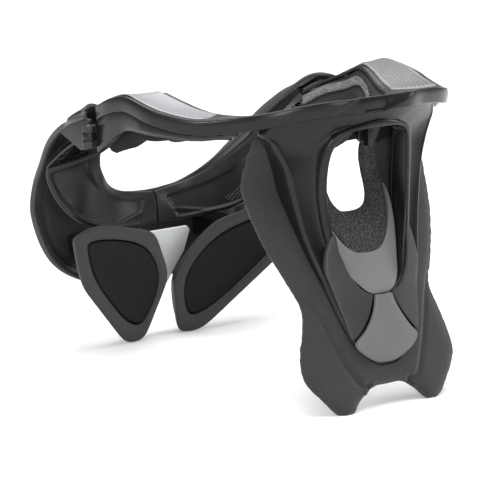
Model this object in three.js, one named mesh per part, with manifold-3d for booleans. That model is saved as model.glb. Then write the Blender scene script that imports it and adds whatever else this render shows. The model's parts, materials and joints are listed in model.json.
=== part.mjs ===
// A motocross neck brace: a neck ring on a tall back strut with a winged back pad, and two front
// arms that swing open at hinges beside the shoulders. Millimetres, +Z up, the back toward +Y and
// the wearer's left toward +X. The brace stands on the tips of its back pad and its chest pads.
import * as THREE from 'three';
import Module from 'manifold-3d';

const wasm = await Module();
wasm.setup();

// Overall sizes
const ringHalfWidth = 140; // centre line to the widest point of the neck ring
const rearReach = 140; // middle of the neck hole back to the ring's rear edge
const frontReach = 176; // middle of the neck hole forward to the foremost rim
const standHeight = 247; // floor to the ring's rear edge

// Clearances and walls
const gap = 0.3; // between pieces that touch
const seatGap = 0.7; // between curved pieces, whose facets stray a little from the curve
const halfSplit = 0.4; // from the middle plane to the front edge of each arm
const shellWall = 3; // moulded shells
const skirtHeight = 13; // outer band of the ring's upper shell
const sideDepth = 38; // ring's full height at its hinges
const linerWall = 7; // padded neck-side walls
const plateWall = 1.2; // inlaid cover plates

// Back strut, its shield and the pieces in its window
const strutHalfWidth = 88;
const strutWrap = 36; // how far its top corners sit forward of its middle
const strutDepth = 20;
const shieldWall = 3;
const spineRise = 8.5; // spine plate's back face above the back pad
const foamRise = 5; // neck foam's back face above the back pad
const foamWall = 14;

// Back pad
const padHalfWidth = 92;
const padWrap = 10;
const backPadWall = 9;

// Front arms
const rimWall = 7; // thickened rim of each arm
const armBulge = 9; // how far the outer shell swells between its edges
const linerBulge = 2.5;
const ribWidthShare = 0.09;

// Chest pads: a tilted plane that follows the chest
const chestSet = 150.4; // pad face forward of the neck's middle, at the floor
const chestTurn = 0.155; // how much the face comes back for each millimetre outward
const chestLean = 0.302; // and for each millimetre of height
const chestPadWall = 14;
const insertSink = 1.5;
const insertMargin = 14;
const chestHalfWidth = 127;
const chestHeight = 118;
const latchHalfWidth = 22;
const latchWall = 3.5;
const latchRun = 2; // clear of the backs of both pads

// Hinges
const hingeInset = 4; // from the ring's widest point in to the hinge line
const hingeAhead = 0.358; // share of the front reach
const hingeDrop = 47; // below the ring's rear edge
const hingeX = ringHalfWidth - hingeInset;
const hingeY = Math.round(-hingeAhead * frontReach);
const hingeZ = standHeight - hingeDrop;
const pinRadius = 2.2;
const lugRadius = 5.5;
const lugHeight = 5.6;
const leafWall = 3.2;

const finish = {
  satin: { color: 0x3d3e40, roughness: 0.42, metalness: 0.0 },
  grey: { color: 0x5a5c5e, roughness: 0.5, metalness: 0.0 },
  silver: { color: 0xc8c9cd, roughness: 0.35, metalness: 0.6 },
  rubber: { color: 0x4a4a4b, roughness: 0.75, metalness: 0.0 },
  insert: { color: 0x2b2b30, roughness: 0.8, metalness: 0.0 },
  fabric: { color: 0x3b3b3d, roughness: 0.95, metalness: 0.0 },
  foam: { color: 0x2a2a2c, roughness: 0.95, metalness: 0.0 },
  plate: { color: 0xe2e3e4, roughness: 0.4, metalness: 0.0 },
  shield: { color: 0x858887, roughness: 0.5, metalness: 0.0 },
  spine: { color: 0x8f9091, roughness: 0.55, metalness: 0.0 },
  panel: { color: 0x6b6f6e, roughness: 0.5, metalness: 0.0 },
  steel: { color: 0x9a9da0, roughness: 0.3, metalness: 1.0 },
};

const brace = new THREE.Group();

// A body from points and triangles, turned so that its faces point out
function body(points, faces) {
  let volume = 0;
  for (const [a, b, c] of faces) volume += points[a].dot(points[b].clone().cross(points[c]));
  const turned = volume < 0 ? faces.map(([a, b, c]) => [a, c, b]) : faces;
  const geometry = new THREE.BufferGeometry();
  geometry.setAttribute('position',
    new THREE.Float32BufferAttribute(points.flatMap((p) => p.toArray()), 3));
  geometry.setIndex(turned.flat());
  return geometry;
}

// A run of like sections, closed by flat ends; flat gives the section's outline for those ends
function loft(sections, flat) {
  const count = flat.length;
  const last = sections.length - 1;
  const faces = [];
  for (let i = 0; i < last; i += 1) {
    for (let k = 0; k < count; k += 1) {
      const a = i * count + k;
      const b = i * count + ((k + 1) % count);
      faces.push([a, b, b + count], [a, b + count, a + count]);
    }
  }
  for (const corners of THREE.ShapeUtils.triangulateShape(flat, [])) {
    const [a, b, c] = THREE.ShapeUtils.isClockWise(flat) ? corners.reverse() : corners;
    faces.push([c, b, a], [last * count + a, last * count + b, last * count + c]);
  }
  return body(sections.flat(), faces);
}

// A closed slab between two sheets that have the same rows and columns of points
function slab(front, back) {
  const rows = front.length;
  const columns = front[0].length;
  const at = (layer, i, j) => layer * rows * columns + i * columns + j;
  const faces = [];
  const quad = (a, b, c, d) => faces.push([a, b, c], [a, c, d]);
  for (let i = 0; i < rows - 1; i += 1) {
    for (let j = 0; j < columns - 1; j += 1) {
      quad(at(0, i, j), at(0, i + 1, j), at(0, i + 1, j + 1), at(0, i, j + 1));
      quad(at(1, i, j), at(1, i, j + 1), at(1, i + 1, j + 1), at(1, i + 1, j));
    }
  }
  for (let i = 0; i < rows - 1; i += 1) {
    quad(at(0, i, 0), at(1, i, 0), at(1, i + 1, 0), at(0, i + 1, 0));
    quad(at(0, i + 1, columns - 1), at(1, i + 1, columns - 1), at(1, i, columns - 1),
      at(0, i, columns - 1));
  }
  for (let j = 0; j < columns - 1; j += 1) {
    quad(at(0, 0, j + 1), at(1, 0, j + 1), at(1, 0, j), at(0, 0, j));
    quad(at(0, rows - 1, j), at(1, rows - 1, j), at(1, rows - 1, j + 1), at(0, rows - 1, j + 1));
  }
  return body([...front.flat(), ...back.flat()], faces);
}

function solid(geometry) {
  return new wasm.Manifold(new wasm.Mesh({
    numProp: 3,
    vertProperties: new Float32Array(geometry.attributes.position.array),
    triVerts: new Uint32Array(geometry.index.array),
  }));
}

function geometryOf(manifold) {
  const mesh = manifold.getMesh();
  const geometry = new THREE.BufferGeometry();
  geometry.setAttribute('position', new THREE.Float32BufferAttribute(mesh.vertProperties, 3));
  geometry.setIndex([...mesh.triVerts]);
  return geometry;
}

// An upright prism along Y from an outline of {x, z} points, holes in the same form
function prism(outline, holes = [], reach = 400) {
  const count = outline.length + holes.reduce((sum, hole) => sum + hole.length, 0);
  const faces = [];
  const flat = [outline, ...holes].map((loop, i) => {
    const points = loop.map((p) => new THREE.Vector2(p.x, p.z));
    return THREE.ShapeUtils.isClockWise(points) === (i === 0) ? points.reverse() : points;
  });
  const points = [...flat.flat().map((p) => new THREE.Vector3(p.x, -reach, p.y)),
    ...flat.flat().map((p) => new THREE.Vector3(p.x, reach, p.y))];
  for (const [a, b, c] of THREE.ShapeUtils.triangulateShape(flat[0], flat.slice(1))) {
    faces.push([a, b, c], [count + c, count + b, count + a]);
  }
  let start = 0;
  for (const loop of flat) {
    for (let k = 0; k < loop.length; k += 1) {
      const a = start + k;
      const b = start + ((k + 1) % loop.length);
      faces.push([a, a + count, b + count], [a, b + count, b]);
    }
    start += loop.length;
  }
  return solid(body(points, faces));
}

function upright(radius, height, x, y, z, sides = 14) {
  const geometry = new THREE.CylinderGeometry(radius, radius, height, sides);
  geometry.rotateX(Math.PI / 2);
  geometry.translate(x, y, z);
  return solid(weld(geometry));
}

function block(sx, sy, sz, x, y, z) {
  const geometry = new THREE.BoxGeometry(sx, sy, sz);
  geometry.translate(x, y, z);
  return solid(weld(geometry));
}

// Shared points only, as a closed mesh needs
function weld(geometry) {
  const points = [];
  const names = new Map();
  const array = geometry.attributes.position;
  const index = [...geometry.index.array].map((i) => {
    const p = new THREE.Vector3().fromBufferAttribute(array, i);
    const name = p.toArray().map((value) => value.toFixed(4)).join();
    if (!names.has(name)) names.set(name, points.push(p) - 1);
    return names.get(name);
  });
  const faces = [];
  for (let i = 0; i < index.length; i += 3) {
    const [a, b, c] = index.slice(i, i + 3);
    if (a !== b && b !== c && c !== a) faces.push([a, b, c]);
  }
  return body(points, faces);
}

function add(name, geometry, look) {
  const mesh = new THREE.Mesh(geometry, new THREE.MeshStandardMaterial(finish[look]));
  mesh.name = name;
  brace.add(mesh);
}

// Both of a pair: the left piece and its mirror image
function addPair(name, geometry, look) {
  add(`${name}_left`, geometry, look);
  const points = [];
  const array = geometry.attributes.position;
  for (let i = 0; i < array.count; i += 1) {
    points.push(new THREE.Vector3(-array.getX(i), array.getY(i), array.getZ(i)));
  }
  const faces = [];
  for (let i = 0; i < geometry.index.count; i += 3) faces.push([...geometry.index.array.slice(i, i + 3)]);
  add(`${name}_right`, body(points, faces), look);
}

// Smooth values between the rows of a table, read at a key column
function follow(table, key, column, value) {
  let i = 0;
  while (i < table.length - 2 && value > table[i + 1][key]) i += 1;
  const row = (k) => table[Math.min(Math.max(k, 0), table.length - 1)];
  const [a, b] = [row(i), row(i + 1)];
  const span = b[key] - a[key];
  const t = Math.min(Math.max((value - a[key]) / span, 0), 1);
  const slope = (k) => {
    const [before, after] = [row(k - 1), row(k + 1)];
    return (after[column] - before[column]) / (after[key] - before[key]);
  };
  const [m0, m1] = [slope(i) * span, slope(i + 1) * span];
  return (2 * t ** 3 - 3 * t ** 2 + 1) * a[column] + (t ** 3 - 2 * t ** 2 + t) * m0
    + (3 * t ** 2 - 2 * t ** 3) * b[column] + (t ** 3 - t ** 2) * m1;
}

// A place from shares of the half width, the reach behind or ahead, and the height
function place(x, y, z) {
  return new THREE.Vector3(x * ringHalfWidth, y * (y > 0 ? rearReach : frontReach), z * standHeight);
}

function curve(rows, x, y, z) {
  return new THREE.CatmullRomCurve3(rows.map((row) => place(row[x], row[y], row[z])), false, 'centripetal');
}

// Half of the ring from its rear middle to the left hinge, as shares: outer rim, inner rim, and the
// depth of the side shell and the foam below the rim as shares of the side depth
const ringRows = [
  { ox: 0, oy: 1, oz: 1, ix: 0, iy: 0.571, iz: 0.919, side: 0.47, foam: 0.47 },
  { ox: 0.18, oy: 1, oz: 1, ix: 0.13, iy: 0.564, iz: 0.919, side: 0.47, foam: 0.47 },
  { ox: 0.33, oy: 0.92, oz: 0.994, ix: 0.24, iy: 0.545, iz: 0.918, side: 0.47, foam: 0.47 },
  { ox: 0.49, oy: 0.857, oz: 0.984, ix: 0.35, iy: 0.51, iz: 0.916, side: 0.47, foam: 0.47 },
  { ox: 0.62, oy: 0.786, oz: 0.968, ix: 0.44, iy: 0.455, iz: 0.915, side: 0.47, foam: 0.47 },
  { ox: 0.75, oy: 0.664, oz: 0.951, ix: 0.52, iy: 0.385, iz: 0.915, side: 0.47, foam: 0.47 },
  { ox: 0.843, oy: 0.536, oz: 0.937, ix: 0.58, iy: 0.31, iz: 0.916, side: 0.45, foam: 0.47 },
  { ox: 0.914, oy: 0.414, oz: 0.931, ix: 0.62, iy: 0.235, iz: 0.92, side: 0.47, foam: 0.52 },
  { ox: 0.971, oy: 0.243, oz: 0.939, ix: 0.65, iy: 0.14, iz: 0.931, side: 0.52, foam: 0.62 },
  { ox: 1, oy: 0.129, oz: 0.951, ix: 0.675, iy: 0.07, iz: 0.944, side: 0.6, foam: 0.77 },
  { ox: 1, oy: 0.014, oz: 0.963, ix: 0.7, iy: 0, iz: 0.957, side: 0.68, foam: 0.94 },
  { ox: 0.993, oy: -0.085, oz: 0.972, ix: 0.714, iy: -0.068, iz: 0.968, side: 0.75, foam: 1.05 },
  { ox: 0.986, oy: -0.205, oz: 0.951, ix: 0.707, iy: -0.155, iz: 0.937, side: 0.86, foam: 1.08 },
  { ox: 0.97, oy: -0.27, oz: 0.932, ix: 0.7, iy: -0.3, iz: 0.9, side: 0.95, foam: 1.04 },
  { ox: 0.95, oy: -0.33, oz: 0.915, ix: 0.7, iy: -0.466, iz: 0.846, side: 1, foam: 1 },
];
const ringOuter = curve(ringRows, 'ox', 'oy', 'oz');
const ringInner = curve(ringRows, 'ix', 'iy', 'iz');
const ringEnd = ringRows.length - 1;

// A point on the ring's section at a row number: across from 0 at the neck to 1 at the rim, rise in
// millimetres; a negative row number is on the right side
function ringPoint(row, across, rise, inset = 0) {
  const t = Math.abs(row) / ringEnd;
  const inner = ringInner.getPoint(t);
  const outer = ringOuter.getPoint(t);
  const width = outer.distanceTo(inner);
  const point = inner.lerp(outer, across - inset / width);
  return new THREE.Vector3(row < 0 ? -point.x : point.x, point.y, point.z + rise);
}

function ringValue(row, column) {
  const numbered = ringRows.map((values, index) => ({ index, value: values[column] }));
  return follow(numbered, 'index', 'value', Math.abs(row)) * sideDepth;
}

// Lofts the ring from one row to another; section(row) lists [across, rise, inset] corners
function ringLoft(from, to, step, section) {
  const count = Math.max(Math.round(Math.abs(to - from) / step), 1);
  const sections = [];
  let flat = null;
  for (let i = 0; i <= count; i += 1) {
    const row = from + ((to - from) * i) / count;
    const corners = section(row);
    sections.push(corners.map(([across, rise, inset]) => ringPoint(row, across, rise, inset)));
    flat = corners.map(([across, rise, inset]) => new THREE.Vector2(across * 50 - (inset ?? 0), rise));
  }
  return loft(sections, flat);
}

const dish = 1.5; // how far the ring's top sinks between its rims
const lip = 1.2;

const collarSection = () => [
  [0, 0], [0.5, -dish], [0.93, 0], [1, -lip], [1.015, -skirtHeight * 0.5], [1, -skirtHeight, 0.6],
  [1, -skirtHeight, shellWall], [1, -shellWall - 3, shellWall * 1.6], [0.5, -shellWall - dish],
  [0, -shellWall],
];
add('collar_shell', ringLoft(-ringEnd, ringEnd, 0.5, collarSection), 'satin');

const plateRows = { from: 6.5, to: 12.5 };
addPair('shoulder_plate', ringLoft(plateRows.from, plateRows.to, 0.5, () => [
  [0.06, gap], [0.5, gap - dish], [0.9, gap], [0.9, gap + plateWall],
  [0.5, gap + plateWall - dish], [0.06, gap + plateWall],
]), 'silver');

const sideStart = 5.6;
const sideInset = 1.2;
const sideShell = solid(ringLoft(sideStart, ringEnd, 0.5, (row) => {
  const depth = ringValue(row, 'side');
  const top = -skirtHeight - gap;
  return [
    [1, top, sideInset], [1, -depth * 0.85, sideInset], [1, -depth, sideInset + shellWall],
    [1, -depth, sideInset + shellWall * 3], [1, -depth + shellWall * 0.8, sideInset + shellWall * 3],
    [1, -depth * 0.85 + 1, sideInset + shellWall], [1, top, sideInset + shellWall],
  ];
}));
const lugRoot = { width: 4, length: 18, inset: 5 }; // bar that joins the lug to the shell's inside
const lugClear = 0.8; // round a lug, for its turn
const boreLength = 60; // past both ends of any lug
const lugBore = upright(pinRadius + gap, boreLength, hingeX, hingeY, hingeZ);
const frameLug = upright(lugRadius, lugHeight, hingeX, hingeY, hingeZ)
  .add(block(lugRoot.width, lugRoot.length, lugHeight, hingeX - lugRoot.inset, hingeY + lugRoot.length / 2,
    hingeZ)).subtract(lugBore);
const lugRoom = upright(lugRadius + lugClear, boreLength, hingeX, hingeY, hingeZ, 16);
addPair('side_shell', geometryOf(sideShell.subtract(lugRoom).add(frameLug)), 'satin');

const linerStart = 5.6;
addPair('ring_liner', ringLoft(linerStart, ringEnd, 0.5, (row) => {
  const depth = Math.min(ringValue(row, 'foam'), sideDepth) + 2;
  const top = -shellWall - gap - 0.4;
  return [
    [0.0, top], [0.0, -depth * 0.6], [0.02, -depth + 3], [0.06, -depth], [0, -depth, -linerWall],
    [0, top - 0.6, -linerWall],
  ];
}), 'rubber');

const foamRows = { from: 7, to: 13.6 };
addPair('shoulder_foam', ringLoft(foamRows.from, foamRows.to, 0.5, (row) => {
  const depth = ringValue(row, 'foam');
  const rim = sideInset + shellWall * 3 + 1;
  const top = -shellWall - dish - 1.5;
  return [
    [0, top, -linerWall - 1], [0.5, top], [1, top - 3, rim], [1, -depth + 4, rim],
    [1, -depth, rim + 6], [0, -depth, -linerWall - 6], [0, -depth + 3, -linerWall - 1],
  ];
}), 'foam');

// The back of the brace, in heights and lines as shares of the stand height and the rear reach
const strutLine = [
  { z: 0.13, y: 0.998 }, { z: 0.178, y: 1.03 }, { z: 0.223, y: 1.03 }, { z: 0.283, y: 1.01 },
  { z: 0.352, y: 0.975 }, { z: 0.425, y: 0.957 }, { z: 0.506, y: 0.925 }, { z: 0.587, y: 0.907 },
  { z: 0.704, y: 0.9 }, { z: 0.81, y: 0.914 }, { z: 0.88, y: 0.94 }, { z: 1, y: 0.96 },
];
const padLine = [
  { z: 0, y: 1.093 }, { z: 0.06, y: 1.057 }, { z: 0.121, y: 1.014 }, { z: 0.17, y: 0.982 },
  { z: 0.206, y: 0.964 }, { z: 0.271, y: 0.932 }, { z: 0.328, y: 0.893 }, { z: 0.372, y: 0.868 },
  { z: 0.441, y: 0.821 }, { z: 0.534, y: 0.75 }, { z: 0.607, y: 0.693 }, { z: 0.672, y: 0.643 },
  { z: 0.709, y: 0.621 }, { z: 0.761, y: 0.621 }, { z: 0.866, y: 0.664 },
];
const strutBack = (x, z) => follow(strutLine, 'z', 'y', z / standHeight) * rearReach
  - strutWrap * (x / strutHalfWidth) ** 2;
const padBack = (x, z) => follow(padLine, 'z', 'y', z / standHeight) * rearReach
  - padWrap * (x / padHalfWidth) ** 2;
const strutFront = (x, z) => Math.max(strutBack(x, z) - strutDepth, padBack(x, z) + seatGap * 2);

// A curved slab across the back, cut to an outline
function backPiece(outline, holes, backFace, frontFace, columns, rows, room = 2) {
  const xs = outline.map((p) => p.x);
  const zs = outline.map((p) => p.z);
  const [left, right] = [Math.min(...xs) - room, Math.max(...xs) + room];
  const [low, high] = [Math.min(...zs) - room, Math.max(...zs) + room];
  const line = (face, z) => Array.from({ length: columns + 1 }, (_, j) => {
    const x = left + ((right - left) * j) / columns;
    return new THREE.Vector3(x, face(x, z), z);
  });
  const sheet = (face) => Array.from({ length: rows + 1 },
    (_, i) => line(face, low + ((high - low) * i) / rows));
  return solid(slab(sheet(frontFace), sheet(backFace))).intersect(prism(outline, holes));
}

// Both halves of an outline, from its left half as shares of a width and a height
function wholeOutline(half, width, height) {
  const left = half.map((p) => ({ x: p.x * width, z: p.z * height }));
  const right = left.filter((p) => p.x > 0).map((p) => ({ x: -p.x, z: p.z })).reverse();
  return [...left, ...right];
}

const strutHalf = [
  { x: 0, z: 0.99 }, { x: 0.9, z: 0.97 }, { x: 0.97, z: 0.905 }, { x: 1, z: 0.88 }, { x: 0.92, z: 0.853 },
  { x: 0.85, z: 0.806 }, { x: 0.79, z: 0.757 }, { x: 0.725, z: 0.645 }, { x: 0.657, z: 0.534 },
  { x: 0.589, z: 0.449 }, { x: 0.506, z: 0.362 }, { x: 0.443, z: 0.283 }, { x: 0.375, z: 0.225 },
  { x: 0.275, z: 0.179 }, { x: 0.11, z: 0.138 }, { x: 0, z: 0.135 },
];
const windowHalf = [
  { x: 0, z: 0.887 }, { x: 0.24, z: 0.885 }, { x: 0.36, z: 0.865 }, { x: 0.415, z: 0.834 },
  { x: 0.445, z: 0.787 }, { x: 0.455, z: 0.706 }, { x: 0.432, z: 0.589 }, { x: 0.377, z: 0.509 },
  { x: 0.3, z: 0.424 }, { x: 0.2, z: 0.38 }, { x: 0.1, z: 0.36 }, { x: 0, z: 0.356 },
];
const strutOutline = wholeOutline(strutHalf, strutHalfWidth, standHeight);
const windowOutline = wholeOutline(windowHalf, strutHalfWidth, standHeight);

// Everything at or above the collar shell's underside, which the strut's head fits under
const collarRoom = solid(ringLoft(-8, 8, 0.5, () => [
  [-0.1, 30], [-0.1, -shellWall - seatGap], [0.5, -shellWall - dish - seatGap],
  [1, -shellWall - 3 - seatGap, shellWall * 1.6 + seatGap], [1, -skirtHeight - gap, shellWall + seatGap],
  [1.4, -skirtHeight - gap], [1.4, 30],
]));
const strut = backPiece(strutOutline, [windowOutline], strutBack, strutFront, 14, 24).subtract(collarRoom);
add('back_strut', geometryOf(strut), 'satin');

const shieldHalf = [
  { x: 0, z: 0.345 }, { x: 0.093, z: 0.348 }, { x: 0.227, z: 0.292 }, { x: 0.358, z: 0.223 },
  { x: 0.33, z: 0.203 }, { x: 0.214, z: 0.168 }, { x: 0.09, z: 0.145 }, { x: 0, z: 0.142 },
];
const onStrut = (rise) => (x, z) => strutBack(x, z) + rise;
add('shield', geometryOf(backPiece(wholeOutline(shieldHalf, strutHalfWidth, standHeight), [],
  onStrut(seatGap + shieldWall), onStrut(seatGap), 8, 6)), 'shield');

const strutPanelHalf = [
  { x: 0.41, z: 0.534 }, { x: 0.5, z: 0.5 }, { x: 0.53, z: 0.445 }, { x: 0.462, z: 0.362 },
  { x: 0.405, z: 0.283 }, { x: 0.375, z: 0.244 }, { x: 0.25, z: 0.304 }, { x: 0.17, z: 0.352 },
  { x: 0.255, z: 0.387 }, { x: 0.335, z: 0.428 }, { x: 0.4, z: 0.496 },
];
addPair('strut_panel', geometryOf(backPiece(
  strutPanelHalf.map((p) => ({ x: p.x * strutHalfWidth, z: p.z * standHeight })), [],
  onStrut(seatGap + plateWall), onStrut(seatGap), 4, 8,
)), 'panel');

// The horseshoe of neck foam in the window
const foamHalf = [
  { x: 0, z: 0.474 }, { x: 0.136, z: 0.482 }, { x: 0.239, z: 0.518 }, { x: 0.335, z: 0.575 },
  { x: 0.386, z: 0.63 }, { x: 0.398, z: 0.68 }, { x: 0.365, z: 0.74 }, { x: 0.29, z: 0.805 },
  { x: 0.24, z: 0.82 }, { x: 0.18, z: 0.812 }, { x: 0.165, z: 0.77 }, { x: 0.19, z: 0.7 },
  { x: 0.2, z: 0.66 }, { x: 0.175, z: 0.625 }, { x: 0.1, z: 0.603 }, { x: 0, z: 0.599 },
];
const grown = (outline, amount) => {
  const middle = outline.reduce((sum, p) => sum + p.z, 0) / outline.length;
  const reach = Math.max(...outline.map((p) => Math.abs(p.x)));
  const factor = 1 + amount / reach;
  return outline.map((p) => ({ x: p.x * factor, z: middle + (p.z - middle) * factor }));
};
const foamOutline = wholeOutline(foamHalf, strutHalfWidth, standHeight);
add('neck_foam', geometryOf(backPiece(foamOutline, [], (x, z) => padBack(0, z) + foamRise,
  (x, z) => padBack(0, z) + foamRise - foamWall, 1, 14)), 'foam');

// The pale plate that fills the window's foot, round the foam
const foamFoot = foamHalf.filter((p) => p.z < 0.69 && p.x >= 0).slice(0, 6);
const foamRoomHalf = [...foamFoot, { x: foamFoot[5].x, z: 0.7 }, { x: 0, z: 0.7 }];
const foamRoom = prism(grown(wholeOutline(foamRoomHalf, strutHalfWidth, standHeight), 0.8));
const spineTop = 0.575;
const spineShrink = 0.95; // so that it clears the window's sides
const spineHalf = [{ x: 0, z: spineTop }, { x: 0.42, z: spineTop },
  ...windowHalf.filter((p) => p.z < spineTop - 0.01).map((p) => ({ x: p.x, z: p.z }))];
const spineOutline = wholeOutline(spineHalf, strutHalfWidth, standHeight)
  .map((p) => ({ x: p.x * spineShrink, z: Math.max(p.z, windowHalf.at(-1).z * standHeight + 1) }));
add('spine_plate', geometryOf(backPiece(spineOutline, [], (x, z) => padBack(x, z) + spineRise,
  (x, z) => padBack(x, z) + seatGap, 6, 10).subtract(foamRoom)), 'spine');

// The winged back pad with its two tips, its notch and the hollow for the neck foam
const padHalf = [
  { x: 0, z: 0.455 }, { x: 0.15, z: 0.463 }, { x: 0.27, z: 0.5 }, { x: 0.37, z: 0.56 },
  { x: 0.425, z: 0.62 }, { x: 0.44, z: 0.7 }, { x: 0.42, z: 0.77 }, { x: 0.5, z: 0.83 },
  { x: 0.72, z: 0.862 }, { x: 0.87, z: 0.866 }, { x: 0.93, z: 0.8 }, { x: 0.99, z: 0.71 },
  { x: 0.99, z: 0.672 }, { x: 0.915, z: 0.534 }, { x: 0.813, z: 0.44 }, { x: 0.726, z: 0.371 },
  { x: 0.692, z: 0.328 }, { x: 0.73, z: 0.27 }, { x: 0.79, z: 0.206 }, { x: 0.815, z: 0.15 },
  { x: 0.8, z: 0.11 }, { x: 0.683, z: 0.06 }, { x: 0.53, z: 0 }, { x: 0.45, z: 0 }, { x: 0.3, z: 0.045 },
  { x: 0.17, z: 0.074 }, { x: 0, z: 0.076 },
];
add('back_pad', geometryOf(backPiece(wholeOutline(padHalf, padHalfWidth, standHeight), [],
  padBack, (x, z) => padBack(x, z) - backPadWall, 14, 24)), 'fabric');

// Fittings under the strut's head that carry the top of the neck foam
const headBottom = windowHalf[0].z * standHeight - gap;
const hangerBottom = foamHalf[8].z * standHeight;
const hangerY = (z) => padBack(0, z) + foamRise;
const hangerHeight = headBottom - hangerBottom;
const hangerPostY = strutBack(0, headBottom) - strutDepth * 0.7;
const postSize = { width: 5, depth: 8 };
add('hanger_post', geometryOf(block(postSize.width, postSize.depth, hangerHeight, 0, hangerPostY,
  headBottom - hangerHeight / 2)), 'satin');
const flapWall = 4;
const flapLean = 0.15; // how far it leans back for each millimetre of height
const flapFront = (z) => hangerY(z) + gap + (z - hangerBottom) * flapLean;
const flapHalf = [
  { x: 0.06, z: 0.885 }, { x: 0.28, z: 0.885 }, { x: 0.29, z: 0.86 }, { x: 0.25, z: 0.825 },
  { x: 0.17, z: 0.815 }, { x: 0.08, z: 0.83 },
];
addPair('hanger_flap', geometryOf(backPiece(
  flapHalf.map((p) => ({ x: p.x * strutHalfWidth, z: p.z * standHeight - gap })), [],
  (x, z) => flapFront(z) + flapWall, (x, z) => flapFront(z), 2, 2,
)), 'satin');

// Left arm from its hinge to the front middle, as shares: neck edge, lower edge of the liner and
// outer rim of the bib
const armRows = [
  { tx: 0.7, ty: -0.475, tz: 0.842, bx: 0.88, by: -0.47, bz: 0.79, rx: 0.957, ry: -0.385, rz: 0.888 },
  { tx: 0.67, ty: -0.55, tz: 0.785, bx: 0.865, by: -0.6, bz: 0.745, rx: 0.962, ry: -0.53, rz: 0.84 },
  { tx: 0.645, ty: -0.6, tz: 0.747, bx: 0.855, by: -0.73, bz: 0.69, rx: 0.957, ry: -0.64, rz: 0.79 },
  { tx: 0.59, ty: -0.675, tz: 0.69, bx: 0.845, by: -0.845, bz: 0.62, rx: 0.94, ry: -0.765, rz: 0.73 },
  { tx: 0.535, ty: -0.735, tz: 0.644, bx: 0.8, by: -0.82, bz: 0.535, rx: 0.907, ry: -0.87, rz: 0.64 },
  { tx: 0.46, ty: -0.797, tz: 0.603, bx: 0.7, by: -0.76, bz: 0.465, rx: 0.864, ry: -0.965, rz: 0.555 },
  { tx: 0.36, ty: -0.866, tz: 0.555, bx: 0.52, by: -0.765, bz: 0.425, rx: 0.82, ry: -0.985, rz: 0.465 },
  { tx: 0.245, ty: -0.915, tz: 0.523, bx: 0.33, by: -0.815, bz: 0.405, rx: 0.7, ry: -0.93, rz: 0.3 },
  { tx: 0.13, ty: -0.92, tz: 0.509, bx: 0.16, by: -0.858, bz: 0.393, rx: 0.38, ry: -0.94, rz: 0.205 },
  { tx: 0, ty: -0.9, tz: 0.502, bx: 0, by: -0.868, bz: 0.389, rx: 0, ry: -0.965, rz: 0.186 },
];
const armNeck = curve(armRows, 'tx', 'ty', 'tz');
const armLow = curve(armRows, 'bx', 'by', 'bz');
const armRim = curve(armRows, 'rx', 'ry', 'rz');
const offMiddle = (point) => new THREE.Vector3(Math.max(point.x, halfSplit), point.y, point.z);

const middleShare = 0.93; // past this share of its length an arm faces straight ahead

// A sheet of points between two edges, swelling by bulge halfway; start and end are shares along
function armSheet(edgeA, edgeB, bulge, start, end, from, to, rows, columns) {
  const sheet = [];
  for (let i = 0; i <= rows; i += 1) {
    const t = start + ((end - start) * i) / rows;
    const [a, b] = [edgeA(t), edgeB(t)];
    const along = edgeA(Math.min(t + 0.01, 1)).sub(edgeA(Math.max(t - 0.01, 0)))
      .add(edgeB(Math.min(t + 0.01, 1)).sub(edgeB(Math.max(t - 0.01, 0))));
    const out = along.cross(b.clone().sub(a)).normalize();
    if (t > middleShare) out.setX(0).normalize();
    sheet.push(Array.from({ length: columns + 1 }, (_, j) => {
      const v = from + ((to - from) * j) / columns;
      return offMiddle(a.clone().lerp(b, v).addScaledVector(out, bulge * 4 * v * (1 - v)));
    }));
  }
  return sheet;
}

// The sheet moved along its own normals, by a distance that may change across it
function raised(sheet, distance) {
  const rows = sheet.length - 1;
  const columns = sheet[0].length - 1;
  return sheet.map((line, i) => line.map((point, j) => {
    const along = sheet[Math.min(i + 1, rows)][j].clone().sub(sheet[Math.max(i - 1, 0)][j]);
    const across = line[Math.min(j + 1, columns)].clone().sub(line[Math.max(j - 1, 0)]);
    const out = along.cross(across).normalize();
    if (i === rows) out.setX(0).normalize();
    return offMiddle(point.clone().addScaledVector(out, distance(j / columns)));
  }));
}

const neckEdge = (t) => armNeck.getPoint(t);
const lowEdge = (t) => armLow.getPoint(t);
const rimEdge = (t) => armRim.getPoint(t);
const latticeEnd = 0.3;
const latticeRun = 0.003; // between the lattice and the liner

const linerSheet = armSheet(neckEdge, lowEdge, -linerBulge, latticeEnd + latticeRun, 1, 0, 1, 14, 5);
addPair('arm_liner', slab(linerSheet, raised(linerSheet, () => linerWall)), 'rubber');

// The outer shell starts beside the liner's neck edge and ends in a thick rim
const shellNeck = (t) => {
  const out = neckEdge(Math.min(t + 0.01, 1)).sub(neckEdge(Math.max(t - 0.01, 0)))
    .cross(lowEdge(t).sub(neckEdge(t))).normalize();
  if (t > middleShare) out.setX(0).normalize();
  return neckEdge(t).addScaledVector(out, linerWall + gap + 0.2);
};
const shellSheet = armSheet(shellNeck, rimEdge, armBulge, 0, 1, 0, 1, 18, 8);
const shellThickness = (v) => (v < 0.8 ? shellWall : shellWall + (rimWall - shellWall) * ((v - 0.8) / 0.2));
addPair('arm_shell', slab(shellSheet, raised(shellSheet, shellThickness)), 'satin');

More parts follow.
